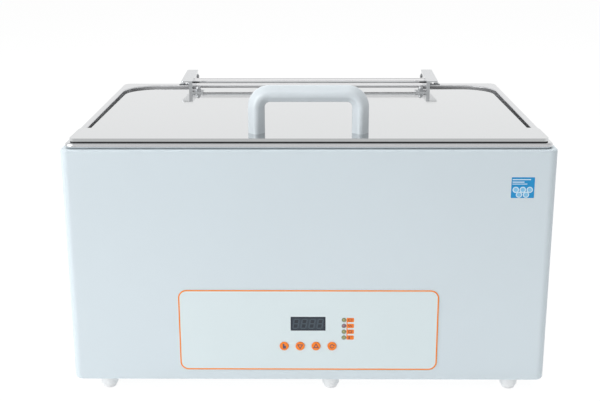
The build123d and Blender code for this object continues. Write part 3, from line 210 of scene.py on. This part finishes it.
# Control board: green laminate with its chip and switches, screwed to four standoffs.
# The traces are drawn by a square cell pattern under the lacquer.
laminate = finish("board_laminate", tone(38, 104, 62), spread=0.15, patch=160.0, grain=1200.0,
                  gloss=(0.25, 0.4), lift=0.2, depth=0.00003, Coat_Weight=0.2)
trace_scale, trace_edge, trace_full, trace_most = 260.0, 0.42, 0.5, 0.55
traces = laminate.node_tree
trace_place = wire(traces, "ShaderNodeTexCoord").outputs["Object"]
cells = wire(traces, "ShaderNodeTexVoronoi", {"Vector": trace_place, "Scale": trace_scale},
             distance="CHEBYCHEV", feature="F1")
trace_share = pass_over(traces, cells.outputs["Distance"], trace_edge, trace_full, 0.0, trace_most,
                        "LINEAR")
lay(laminate, trace_share, tone(92, 160, 96))
dress(laminate, "control_board")
dress(steel_screw, "board_standoffs", "board_screws")

# Control panel: a printed film stuck to the housing. The middle of its orange border runs 0.9 mm
# in from the edge. Every print is a thin layer of ink, laid just proud of the film.
film = finish("panel_film", tone(213, 225, 228), spread=0.008, patch=14.0, grain=1300.0,
              gloss=(0.4, 0.5), lift=0.1, depth=0.00002)
dress(film, "panel_overlay")
film_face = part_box("panel_overlay")[0][1]
ink_height = 0.00005


def skin(name, grids, material, body):
    """One mesh from grids of points: rows run along each shape, columns close round its section,
    and points that meet, at a pole or where a loop closes, are merged."""
    points, faces, count = [], [], 0
    for grid in grids:
        index = count + np.arange(grid.shape[0] * grid.shape[1]).reshape(grid.shape[:2])
        beside = np.roll(index, -1, axis=1)
        faces.append(np.stack([index[:-1], beside[:-1], beside[1:], index[1:]], -1).reshape(-1, 4))
        points.append(grid.reshape(-1, 3))
        count += index.size
    mesh = bpy.data.meshes.new(name)
    mesh.from_pydata(np.concatenate(points).tolist(), [], np.concatenate(faces).tolist())
    work = bmesh.new()
    work.from_mesh(mesh)
    bmesh.ops.remove_doubles(work, verts=work.verts, dist=1e-7)
    bmesh.ops.recalc_face_normals(work, faces=work.faces)
    work.to_mesh(mesh)
    work.free()
    mesh.materials.append(material)
    piece = bpy.data.objects.new(name, mesh)
    bpy.context.collection.objects.link(piece)
    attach(piece, body)


def ink(name, colour, spread=0.05, patch=300.0, gloss=(0.4, 0.5)):
    """Finish of a printed ink: nearly even in colour, satin and almost smooth."""
    return finish(name, colour, spread=spread, patch=patch, grain=2500.0, gloss=gloss, lift=0.1,
                  depth=0.00001)


def rounded(x, z, width, height, radius, steps=9):
    """Points round a rectangle: each corner's centre plus its radius at evenly stepped angles."""
    angle = np.linspace(0, np.pi / 2, steps) + np.arange(4)[:, None] * np.pi / 2
    side = np.array([[1, 1], [-1, 1], [-1, -1], [1, -1]])[:, None]
    corner = np.array([x, z]) + side * (np.array([width, height]) / 2 - radius)
    return (corner + radius * np.stack([np.cos(angle), np.sin(angle)], -1)).reshape(-1, 2)


def stand_at(outline, face, up):
    """Puts points across and up the front at a depth: a height before the face."""
    return np.stack([outline[:, 0], np.full(len(outline), face - up), outline[:, 1]], -1)


def drawn_line(path, width, face, height, closed=True):
    """Grid of a printed line: a flat section, square to the path and mitred where it turns,
    carried along it. An open line is capped with its ends' middle points."""
    ahead = np.roll(path, -1, 0) - path
    if not closed:
        ahead[-1] = ahead[-2]
    ahead /= np.linalg.norm(ahead, axis=1)[:, None]
    behind = np.roll(ahead, 1, 0)
    if not closed:
        behind[0] = ahead[0]
    along = (ahead + behind) / (1 + (ahead * behind).sum(1))[:, None]
    across = np.stack([-along[:, 1], along[:, 0]], 1) * width / 2
    rows = [(path - across, 0), (path - across, height), (path + across, height), (path + across, 0)]
    grid = np.stack([stand_at(edge, face, up) for edge, up in rows], 1)
    if closed:
        return np.concatenate([grid, grid[:1]])
    ends = [np.repeat(end.mean(0)[None, None], 4, 1) for end in (grid[0], grid[-1])]
    return np.concatenate([ends[0], grid, ends[1]])


def filled(outline, face, height):
    """Grid of a printed area: its outline drawn in to its middle on the front and on the back."""
    middle = outline.mean(0)
    return np.stack([stand_at(middle + share * (outline - middle), face, up)
                     for share, up in ((0, height), (1, height), (1, 0), (0, 0))])


def circle(x, z, radius, steps=32):
    """Points round a circle at even angles."""
    angle = np.linspace(0, 2 * np.pi, steps, endpoint=False)
    return np.stack([x + radius * np.cos(angle), z + radius * np.sin(angle)], -1)


orange_ink = ink("orange_ink", tone(241, 137, 22), spread=0.03, patch=120.0)
panel_low, panel_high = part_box("panel_overlay")
panel_width, panel_height = panel_high[0] - panel_low[0], panel_high[2] - panel_low[2]
border_width, border_inset, panel_corner = 0.0017, 0.0009, 0.0105
border = rounded(0.0, (panel_low[2] + panel_high[2]) / 2, panel_width - 2 * border_inset,
                 panel_height - 2 * border_inset, panel_corner - border_inset)
skin("panel_border", [drawn_line(border, border_width, film_face, ink_height)], orange_ink,
     "heater")

# Display: a dark tinted window of moulded plastic over four slanted digits, all unlit.
# The grey field and the unlit segments, which show through the tint, are drawn on the window.
# Behind it a black moulded module is soldered to the control board.
window_plastic = finish("window_tint", tone(26, 35, 50), spread=0.04, patch=60.0, grain=1500.0,
                        gloss=(0.18, 0.26), lift=0.05, depth=0.00001)
dress(window_plastic, "display_window")


def behind_tint(name, colour, patch=160.0):
    """Finish of what shows through the window: even in colour and as glossy as the window."""
    return finish(name, colour, spread=0.03, patch=patch, grain=2200.0, gloss=(0.2, 0.3), lift=0.05,
                  depth=0.00001)


field_grey = behind_tint("digit_field", tone(46, 58, 69), patch=120.0)
segment_grey = behind_tint("digit_segment", tone(68, 82, 92))
cell_grey = behind_tint("digit_cell", tone(32, 42, 52))
window_low, window_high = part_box("display_window")
window_x, window_z = (window_low[0] + window_high[0]) / 2, (window_low[2] + window_high[2]) / 2
window_face = window_low[1]
field_width, field_tall, small_corner = 0.0384, 0.0143, 0.0003
field_height, cell_height, segment_height = 0.00004, 0.00006, 0.00008
field = rounded(window_x, window_z, field_width, field_tall, small_corner, 3)
skin("digit_field", [filled(field, window_face, field_height)], field_grey, "heater")
digit_pitch, digit_width, digit_tall = 0.0098, 0.0062, 0.0118
segment_width, segment_break, slant = 0.0011, 0.00015, 0.17


def leaned(outline):
    """Leans points over with their digit: each goes across by the slant times its height."""
    return outline + np.stack([slant * outline[:, 1], 0 * outline[:, 1]], 1)


def digit_bar(x, z, length, upright):
    """Outline of one segment: a bar with pointed ends, level or upright, leaned over."""
    half, tip = length / 2 - segment_break, segment_width / 2
    level = np.array([[-half, 0], [-half + tip, tip], [half - tip, tip], [half, 0], [half - tip, -tip],
                      [-half + tip, -tip]])
    return leaned((level[:, ::-1] if upright else level) + [x, z])


segments, dark_cells = [], []
cell_width, cell_tall = digit_width - 2 * segment_width, digit_tall / 2 - 1.6 * segment_width
for step in (-1.5, -0.5, 0.5, 1.5):
    places = [(0, level * digit_tall / 2, digit_width, False) for level in (-1, 0, 1)]
    places += [(side * digit_width / 2, level * digit_tall / 4, digit_tall / 2, True)
               for side in (-1, 1) for level in (-1, 1)]
    shift = np.array([window_x + step * digit_pitch, window_z])
    for x, z, length, upright in places:
        bar = digit_bar(x, z, length, upright) + shift
        segments.append(filled(bar, window_face, segment_height))
    for level in (-1, 1):
        cell = rounded(0.0, level * digit_tall / 4, cell_width, cell_tall, small_corner, 3)
        dark_cells.append(filled(leaned(cell) + shift, window_face, cell_height))
skin("digit_segments", segments, segment_grey, "heater")
skin("digit_cells", dark_cells, cell_grey, "heater")
module_black = finish("module_black", tone(34, 35, 37), spread=0.1, patch=80.0, grain=1600.0,
                      gloss=(0.4, 0.55), lift=0.2, depth=0.00003)
dress(module_black, "display_module")

# Status lamps: four tinted lenses pressed into the film, each in a printed grey ring, and beside
# them orange printed labels joined along their left side. The signs on the labels are plain:
# a frame, a wave, a square and a thermometer.
lamp_green = finish("lamp_green", tone(150, 151, 104), spread=0.12, patch=400.0, grain=3000.0,
                    gloss=(0.2, 0.32), lift=0.1, depth=0.00002, Coat_Weight=0.3)
lamp_red = finish("lamp_red", tone(146, 110, 120), spread=0.12, patch=400.0, grain=3000.0,
                  gloss=(0.2, 0.32), lift=0.1, depth=0.00002, Coat_Weight=0.3)
dress(lamp_green, "status_lamps_green")
dress(lamp_red, "status_lamp_red")
ring_ink = ink("ring_ink", tone(104, 116, 104))
label_ink = ink("label_ink", tone(238, 121, 2), spread=0.03, patch=120.0)
sign_ink = ink("sign_ink", tone(112, 56, 66))
lamp_x, lamp_pitch, lamp_middle = 0.0436, 0.00773, 0.0866
lamp_heights = [lamp_middle + step * lamp_pitch for step in (-1.5, -0.5, 0.5, 1.5)]
ring_mid, ring_width = 0.00272, 0.00042
skin("lamp_rings", [drawn_line(circle(lamp_x, z, ring_mid), ring_width, film_face, ink_height)
                    for z in lamp_heights], ring_ink, "heater")
label_left, label_right, label_tall, label_corner = 0.0467, 0.0558, 0.0056, 0.0013
label_x, label_width = (label_left + label_right) / 2, label_right - label_left
spine_width, spine_less = 0.0012, 0.0006
spine = rounded(label_left + spine_width / 2, lamp_middle, spine_width,
                3 * lamp_pitch + label_tall - spine_less, small_corner, 3)
labels = [filled(rounded(label_x, z, label_width, label_tall, label_corner, 6), film_face, ink_height)
          for z in lamp_heights]
skin("lamp_labels", labels + [filled(spine, film_face, 0.8 * ink_height)], label_ink, "heater")


def straight(x0, z0, x1, z1):
    """The two ends of a straight printed line."""
    return np.array([[x0, z0], [x1, z1]])


stroke, sign_height, bulb_height = 0.0006, 2 * ink_height, 1.9 * ink_height
wave_half, wave_tall, bulb_aside, bulb_radius = 0.0024, 0.0009, 0.0012, 0.001
frame_width, frame_tall, frame_corner = 0.004, 0.003, 0.0009
square_width, square_tall = 0.0038, 0.0028
stem_foot, stem_top, dash_start, dash_end, dash_up = 0.001, 0.0018, 0.0006, 0.0024, 0.0012
heat_z, square_z, wave_z, frame_z = lamp_heights
frame_sign = rounded(label_x, frame_z, frame_width, frame_tall, frame_corner, 5)
along_wave = np.linspace(-1, 1, 17)
wave = np.stack([label_x + wave_half * along_wave,
                 wave_z + wave_tall * np.sin(2 * np.pi * along_wave)], 1)
square_sign = rounded(label_x, square_z, square_width, square_tall, small_corner, 3)
bulb_x = label_x - bulb_aside
stem = straight(bulb_x, heat_z - stem_foot, bulb_x, heat_z + stem_top)
dash = straight(label_x + dash_start, heat_z + dash_up, label_x + dash_end, heat_z + dash_up)
bulb = circle(bulb_x, heat_z - bulb_aside, bulb_radius, 16)
signs = [drawn_line(frame_sign, stroke, film_face, sign_height),
         drawn_line(wave, stroke, film_face, sign_height, False),
         drawn_line(square_sign, stroke, film_face, sign_height),
         drawn_line(stem, 2 * stroke, film_face, sign_height, False),
         drawn_line(dash, stroke, film_face, sign_height, False),
         filled(bulb, film_face, bulb_height)]
skin("label_signs", signs, sign_ink, "heater")

# Keys: four moulded orange caps that press in, each with a dark sign printed on it.
# The signs are a two-step bar, a triangle down, a triangle up and a loop with its arrow.
key_orange = finish("key_cap", tone(243, 126, 4), spread=0.03, patch=150.0, grain=1500.0,
                    gloss=(0.3, 0.42), lift=0.15, depth=0.00002, Coat_Weight=0.15, Coat_Roughness=0.3)
dress(key_orange, "key_function", "key_down", "key_up", "key_program")
key_ink = ink("key_ink", tone(92, 66, 92))
deep_ink = ink("key_ink_deep", tone(60, 70, 104))


def key_centre(name):
    """Middle of a key's face, across and up, and how far forward the face is."""
    low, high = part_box(name)
    return (low[0] + high[0]) / 2, (low[2] + high[2]) / 2, low[1]


bar_width, triangle_stroke, loop_stroke = 0.0018, 0.0009, 0.0008
tall_aside, short_aside, bar_foot, tall_top, short_top = 0.0007, 0.0012, 0.003, 0.0032, 0.0006
x, z, face = key_centre("key_function")
tall = straight(x - tall_aside, z - bar_foot, x - tall_aside, z + tall_top)
short = straight(x + short_aside, z - bar_foot, x + short_aside, z + short_top)
skin("key_function_sign", [drawn_line(bar, bar_width, face, ink_height, False)
                           for bar in (tall, short)], deep_ink, "key_function_button")
half_base, base_drop, tip_rise = 0.0029, 0.0019, 0.003
for name, way in (("key_down", -1), ("key_up", 1)):
    x, z, face = key_centre(name)
    triangle = np.array([[x - half_base, z - way * base_drop], [x, z + way * tip_rise],
                         [x + half_base, z - way * base_drop]])
    skin(f"{name}_sign", [drawn_line(triangle, triangle_stroke, face, ink_height)], key_ink,
         f"{name}_button")
loop_across, loop_up = 0.0024, 0.0022
head_start, head_end, head_low, head_high = 0.001, 0.0032, 0.0003, 0.0019
x, z, face = key_centre("key_program")
angle = np.radians(np.linspace(30, 330, 25))
loop = np.stack([x + loop_across * np.cos(angle), z + loop_up * np.sin(angle)], 1)
head = np.array([[x + head_start, z + head_low], [x + head_end, z + head_low],
                 [x + head_end, z + head_high]])
skin("key_program_sign", [drawn_line(loop, loop_stroke, face, ink_height, False),
                          filled(head, face, 0.9 * ink_height)],
     key_ink, "key_program_button")

# Power tray: a second board on standoffs, with a laminated transformer, a relay on its heat sink
# and a moulded terminal block.
dress(laminate, "power_board")
dress(steel_screw, "power_standoffs", "power_screws")
core_iron = finish("core_iron", tone(84, 84, 88), spread=0.2, patch=40.0, grain=1500.0,
                   run=(0.05, 0.05, 1), gloss=(0.4, 0.6), lift=0.5, depth=0.0001, Metallic=0.6)
dress(core_iron, "transformer")
sink_metal = finish("sink_aluminium", tone(190, 192, 195), spread=0.05, patch=60.0, grain=1600.0,
                    run=(1, 1, 0.04), gloss=(0.35, 0.5), lift=0.3, depth=0.00004, Metallic=1.0)
dress(sink_metal, "heat_sink")
dress(module_black, "heater_relay")
block_plastic = finish("block_plastic", tone(222, 221, 214), spread=0.03, patch=80.0, grain=1300.0,
                       gloss=(0.45, 0.6), lift=0.2, depth=0.00004)
dress(block_plastic, "terminal_block")

# Mains inlet and switch: moulded black, screwed and snapped into the back.
# Plain signs for on and off are printed on the two halves of the rocker's V face. At rest the
# upper half stands upright, and the lower one leans out from the crease between them.
moulded_black = finish("moulded_black", tone(40, 41, 43), spread=0.12, patch=70.0, grain=1300.0,
                       gloss=(0.42, 0.58), lift=0.35, depth=0.00005)
dress(moulded_black, "mains_inlet", "switch_bezel")
dress(brass, "inlet_pins")
dress(steel_screw, "inlet_screws")
rocker_black = finish("rocker_black", tone(30, 31, 33), spread=0.12, patch=70.0, grain=1600.0,
                      gloss=(0.18, 0.28), lift=0.1, depth=0.00003)
dress(rocker_black, "switch_rocker")
sign_white = ink("rocker_sign", tone(226, 227, 228), spread=0.03, patch=200.0)
rocker_low, rocker_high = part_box("switch_rocker")
rocker_x = (rocker_low[0] + rocker_high[0]) / 2
crease_z, crease_y, lower_lean = 0.078557, 0.191361, np.radians(16)
on_low, on_high, off_drop, off_radius, rocker_stroke = 0.0042, 0.0092, 0.0066, 0.0024, 0.001
on_line = straight(rocker_x, crease_z + on_low, rocker_x, crease_z + on_high)
on_sign = drawn_line(on_line, rocker_stroke, crease_y, -ink_height, False)
off_ring = circle(rocker_x, crease_z - off_drop, off_radius)
off_sign = drawn_line(off_ring, rocker_stroke, crease_y, -ink_height)
off_sign[..., 1] += np.tan(lower_lean) * (crease_z - off_sign[..., 2])
skin("rocker_signs", [on_sign, off_sign], sign_white, "rocker")

# Hinge lugs: bent from brushed steel sheet and riveted to the tank's flange.
# Headed steel pins pass through them and the arms, and spring clips keep the pins.
lug_steel = finish("lug_steel", tone(206, 208, 210), spread=0.04, patch=60.0, grain=1800.0,
                   run=(1, 0.05, 1), gloss=(0.1, 0.2), lift=0.1, depth=0.00002, Metallic=1.0)
dress(lug_steel, "hinge_lug_right", "hinge_lug_left")
dress(steel_screw, "lug_rivets", "hinge_pins", "pin_clips")

# Lid: a folded pan of bright stainless sheet, polished along its width, with a black seal under
# its lip. Painted shade, near black, darkens the side skirts, which drop beside the tank's opening,
# for the shaded gap into the tank. It lies behind the lid's wide front strip and just below the top,
# which falls a little to the back.
lid_steel = finish("lid_steel", tone(210, 212, 213), spread=0.012, patch=4.0, grain=1400.0,
                   run=(0.02, 1, 1), gloss=(0.05, 0.1), lift=0.05, depth=0.00001, Metallic=1.0)
lid_low, lid_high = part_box("lid")
stem_side, side_reach, strip_depth, lid_fall, shade_drop = 0.2674, 0.0004, 0.062, 0.01117, 0.0005
shade_top = lid_high[2] + lid_fall * lid_low[1] - shade_drop
tree = lid_steel.node_tree
spot = point(tree)
on_side = reckon(tree, "GREATER_THAN", reckon(tree, "ABSOLUTE", spot["X"]), stem_side - side_reach)
behind_strip = reckon(tree, "GREATER_THAN", spot["Y"], lid_low[1] + strip_depth)
below_top = reckon(tree, "LESS_THAN", reckon(tree, "MULTIPLY_ADD", spot["Y"], lid_fall, spot["Z"]),
                   shade_top)
# Painted shade: near-black colour laid on the lid's side skirts for the shaded gap into the tank.
painted_gap_shade = reckon(tree, "MULTIPLY", reckon(tree, "MULTIPLY", on_side, behind_strip), below_top)
lay(lid_steel, painted_gap_shade, tone(24, 24, 25))
dress(lid_steel, "lid")
dress(rubber, "lid_seal")

# Lid handle: one bow moulded in pale grey plastic with a rounded rhombic section.
# Two steel screws hold it from below the lid.
handle_grey = finish("handle_plastic", tone(209, 217, 222), spread=0.012, patch=30.0, grain=1200.0,
                     gloss=(0.2, 0.28), lift=0.08, depth=0.00002, Coat_Weight=0.4, Coat_Roughness=0.12)
dress(handle_grey, "lid_handle")
dress(steel_screw, "handle_screws")

# Hinge arms: bent steel bars, each with a wing outwards and a foot screwed to the lid.
# A polished steel rod ties them, and cap nuts close the screws.
dress(lug_steel, "arm_left", "arm_right")
rod_steel = finish("rod_steel", tone(250, 250, 251), spread=0.02, patch=40.0, grain=2200.0,
                   run=(0.05, 1, 1), gloss=(0.08, 0.15), lift=0.08, depth=0.00002, Metallic=1.0)
dress(rod_steel, "tie_rod")
dress(steel_screw, "arm_screws", "cap_nuts")

# Sticker: blue printed film stuck on the housing's front, with a pale margin.
# Pale bars above and two rows of rings below are a plain design.
housing_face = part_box("housing")[0][1]
margin_film = finish("sticker_margin", tone(226, 226, 222), spread=0.02, patch=100.0, grain=1500.0,
                     gloss=(0.3, 0.4), lift=0.1, depth=0.00002)
blue_film = finish("sticker_blue", tone(0, 140, 200), spread=0.08, patch=90.0, grain=1500.0,
                   gloss=(0.25, 0.35), lift=0.1, depth=0.00002)
pale_ink = ink("sticker_pale", tone(208, 228, 240), patch=200.0, gloss=(0.3, 0.4))
light_blue = ink("sticker_light", tone(128, 190, 226), spread=0.08, gloss=(0.3, 0.4))
sticker_x, sticker_z, sticker_width, sticker_tall = 0.252, 0.266, 0.0284, 0.0264
margin_width, margin_height, blue_height = 0.0005, 0.0001, 0.00014
print_height, ring_height = 0.00017, 0.0002
outer_corner, inner_corner, bar_reach, light_share = 0.0008, 0.0006, 0.0125, 0.7
margin = rounded(sticker_x, sticker_z, sticker_width, sticker_tall, outer_corner, 5)
inside = rounded(sticker_x, sticker_z, sticker_width - 2 * margin_width,
                 sticker_tall - 2 * margin_width, inner_corner, 5)
skin("sticker_margin", [filled(margin, housing_face, margin_height)], margin_film, "heater")
skin("sticker_blue", [filled(inside, housing_face, blue_height)], blue_film, "heater")
bar_left = sticker_x - bar_reach
bars = []
for up, length, width in ((0.0098, 0.0215, 0.0012), (0.0068, 0.014, 0.0012), (0.0044, 0.0175, 0.0009)):
    bar = straight(bar_left, sticker_z + up, bar_left + length, sticker_z + up)
    bars.append(drawn_line(bar, width, housing_face, print_height, False))
ring_pitch, upper_row, lower_row, ring_radius = 0.0082, -0.0026, -0.0086, 0.0037
rings = [(sticker_x + step * ring_pitch, sticker_z + upper_row) for step in (-1, 0, 1)]
rings += [(sticker_x + step * ring_pitch, sticker_z + lower_row) for step in (-0.5, 0.5)]
skin("sticker_print", bars + [filled(circle(x, z, ring_radius), housing_face, print_height)
                              for x, z in rings], pale_ink, "heater")
skin("sticker_rings", [filled(circle(x, z, light_share * ring_radius), housing_face, ring_height)
                       for x, z in rings], light_blue, "heater")

# Studio: a white floor that keeps a faint shadow, a white surround and two broad soft lamps.
# The floor before the part throws some light up at its front. What the metal mirrors is the white
# room behind, a dim ceiling, a bright band above the front and a duller front.
def where_seen(tree):
    """Light path outputs: 1 for rays that look at the background, and 1 for mirrored rays."""
    rays = wire(tree, "ShaderNodeLightPath").outputs
    seen = reckon(tree, "MAXIMUM", rays["Is Camera Ray"], rays["Is Transmission Ray"])
    return seen, rays["Is Glossy Ray"]


def grey(level):
    """A grey of one level, as a colour input takes it."""
    return level, level, level, 1.0


floor_reach, floor_drop = 5, 0.0003
ground = bpy.data.meshes.new("floor")
ground.from_pydata([(x * floor_reach, y * floor_reach, -floor_drop)
                    for x, y in ((-1, -1), (1, -1), (1, 1), (-1, 1))], [], [(0, 1, 2, 3)])
floor = bpy.data.objects.new("floor", ground)
bpy.context.collection.objects.link(floor)
white = bpy.data.materials.new("floor_white")
white.use_nodes = True
tree = white.node_tree
tree.nodes.remove(tree.nodes["Principled BSDF"])
seen, mirrored = where_seen(tree)


def shine_out(strength):
    """White light given out by the floor."""
    return wire(tree, "ShaderNodeEmission", {"Color": grey(1.0), "Strength": strength}).outputs[0]


def scatter(level):
    """Matt grey of the floor."""
    return wire(tree, "ShaderNodeBsdfDiffuse", {"Color": grey(level)}).outputs[0]


shadow_level, floor_shine, matt_level = 0.1, 0.945, 0.86
ahead = point(tree)["Y"]
dulled = pass_over(tree, ahead, start=-3.0, end=-0.3, before=0.5, after=1.0)
bounced = pass_over(tree, ahead, start=-1.2, end=-0.4, before=0.0, after=0.3)
shown = wire(tree, "ShaderNodeAddShader",
             {0: scatter(shadow_level), 1: shine_out(floor_shine)}).outputs[0]
matt = wire(tree, "ShaderNodeAddShader",
            {0: scatter(matt_level), 1: shine_out(bounced)}).outputs[0]
chosen = wire(tree, "ShaderNodeMixShader", {0: seen, 1: matt, 2: shown}).outputs[0]
chosen = wire(tree, "ShaderNodeMixShader", {0: mirrored, 1: chosen, 2: shine_out(dulled)}).outputs[0]
tree.links.new(chosen, tree.nodes["Material Output"].inputs["Surface"])
ground.materials.append(white)

world = bpy.data.worlds.new("surround")
bpy.context.scene.world = world
world.use_nodes = True
tree = world.node_tree
seen, mirrored = where_seen(tree)
way = wire(tree, "ShaderNodeTexCoord").outputs["Generated"]
parts = wire(tree, "ShaderNodeSeparateXYZ", {"Vector": way}).outputs
half_turn = float(np.pi)
turn = reckon(tree, "DIVIDE", reckon(tree, "ARCTAN2", parts["Z"], parts["Y"]), half_turn)
room = wire(tree, "ShaderNodeValToRGB", {"Fac": turn})
band = room.color_ramp.elements
for place, level in ((0.3, 1.0), (0.38, 0.62), (0.56, 0.5), (0.66, 0.9), (0.92, 0.9), (0.975, 0.55)):
    stop = band.new(place)
    stop.color = grey(level)
band[0].color, band[-1].color = grey(1.0), grey(0.45)
side_start, side_full, side_level, fill_level = 0.75, 0.98, 0.9, 0.35
aside = pass_over(tree, reckon(tree, "ABSOLUTE", parts["X"]), side_start, side_full, 0.0, 1.0)
mirror_image = blend(tree, aside, room.outputs["Color"], grey(side_level))
fill = blend(tree, mirrored, grey(fill_level), mirror_image)
tree.links.new(blend(tree, seen, fill, grey(1.0)), tree.nodes["Background"].inputs["Color"])

lamp_aim = Vector((0, 0, 0.2))
for name, place, size, power, shines in (("lamp_left", (-2.2, -1.45, 1.25), 2.6, 54.0, True),
                                         ("lamp_top", (0.0, 0.3, 2.3), 3.2, 48.0, False)):
    light = bpy.data.lights.new(name, "AREA")
    light.size, light.energy = size, power
    lamp = bpy.data.objects.new(name, light)
    bpy.context.collection.objects.link(lamp)
    lamp.location, lamp.visible_camera, lamp.visible_glossy = place, False, shines
    lamp.rotation_euler = (lamp_aim - Vector(place)).to_track_quat("-Z", "Y").to_euler()

# Camera at the photograph's viewing angle, worked out for a frame of 600 by 401.
# It looks down on the front, turned a little to the left and hardly rolled.
pitch, yaw, roll = 0.28502, -0.01286, -0.00301
camera_place, lens, film_width = (0.00521, -1.40184, 0.59274), 61.853, 36.0
forward = np.array([np.sin(yaw) * np.cos(pitch), np.cos(yaw) * np.cos(pitch), -np.sin(pitch)])
level = np.array([np.cos(yaw), -np.sin(yaw), 0.0])
upward = np.cross(level, forward)
right = level * np.cos(roll) + upward * np.sin(roll)
upward = upward * np.cos(roll) - level * np.sin(roll)
camera = bpy.data.objects.new("camera", bpy.data.cameras.new("camera"))
bpy.context.collection.objects.link(camera)
camera.data.lens, camera.data.sensor_width = lens, film_width
stand = np.identity(4)
stand[:3, 0], stand[:3, 1], stand[:3, 2], stand[:3, 3] = right, upward, -forward, camera_place
camera.matrix_world = Matrix(stand.tolist())
bpy.context.scene.camera = camera
bpy.context.scene.view_settings.view_transform = "Standard"
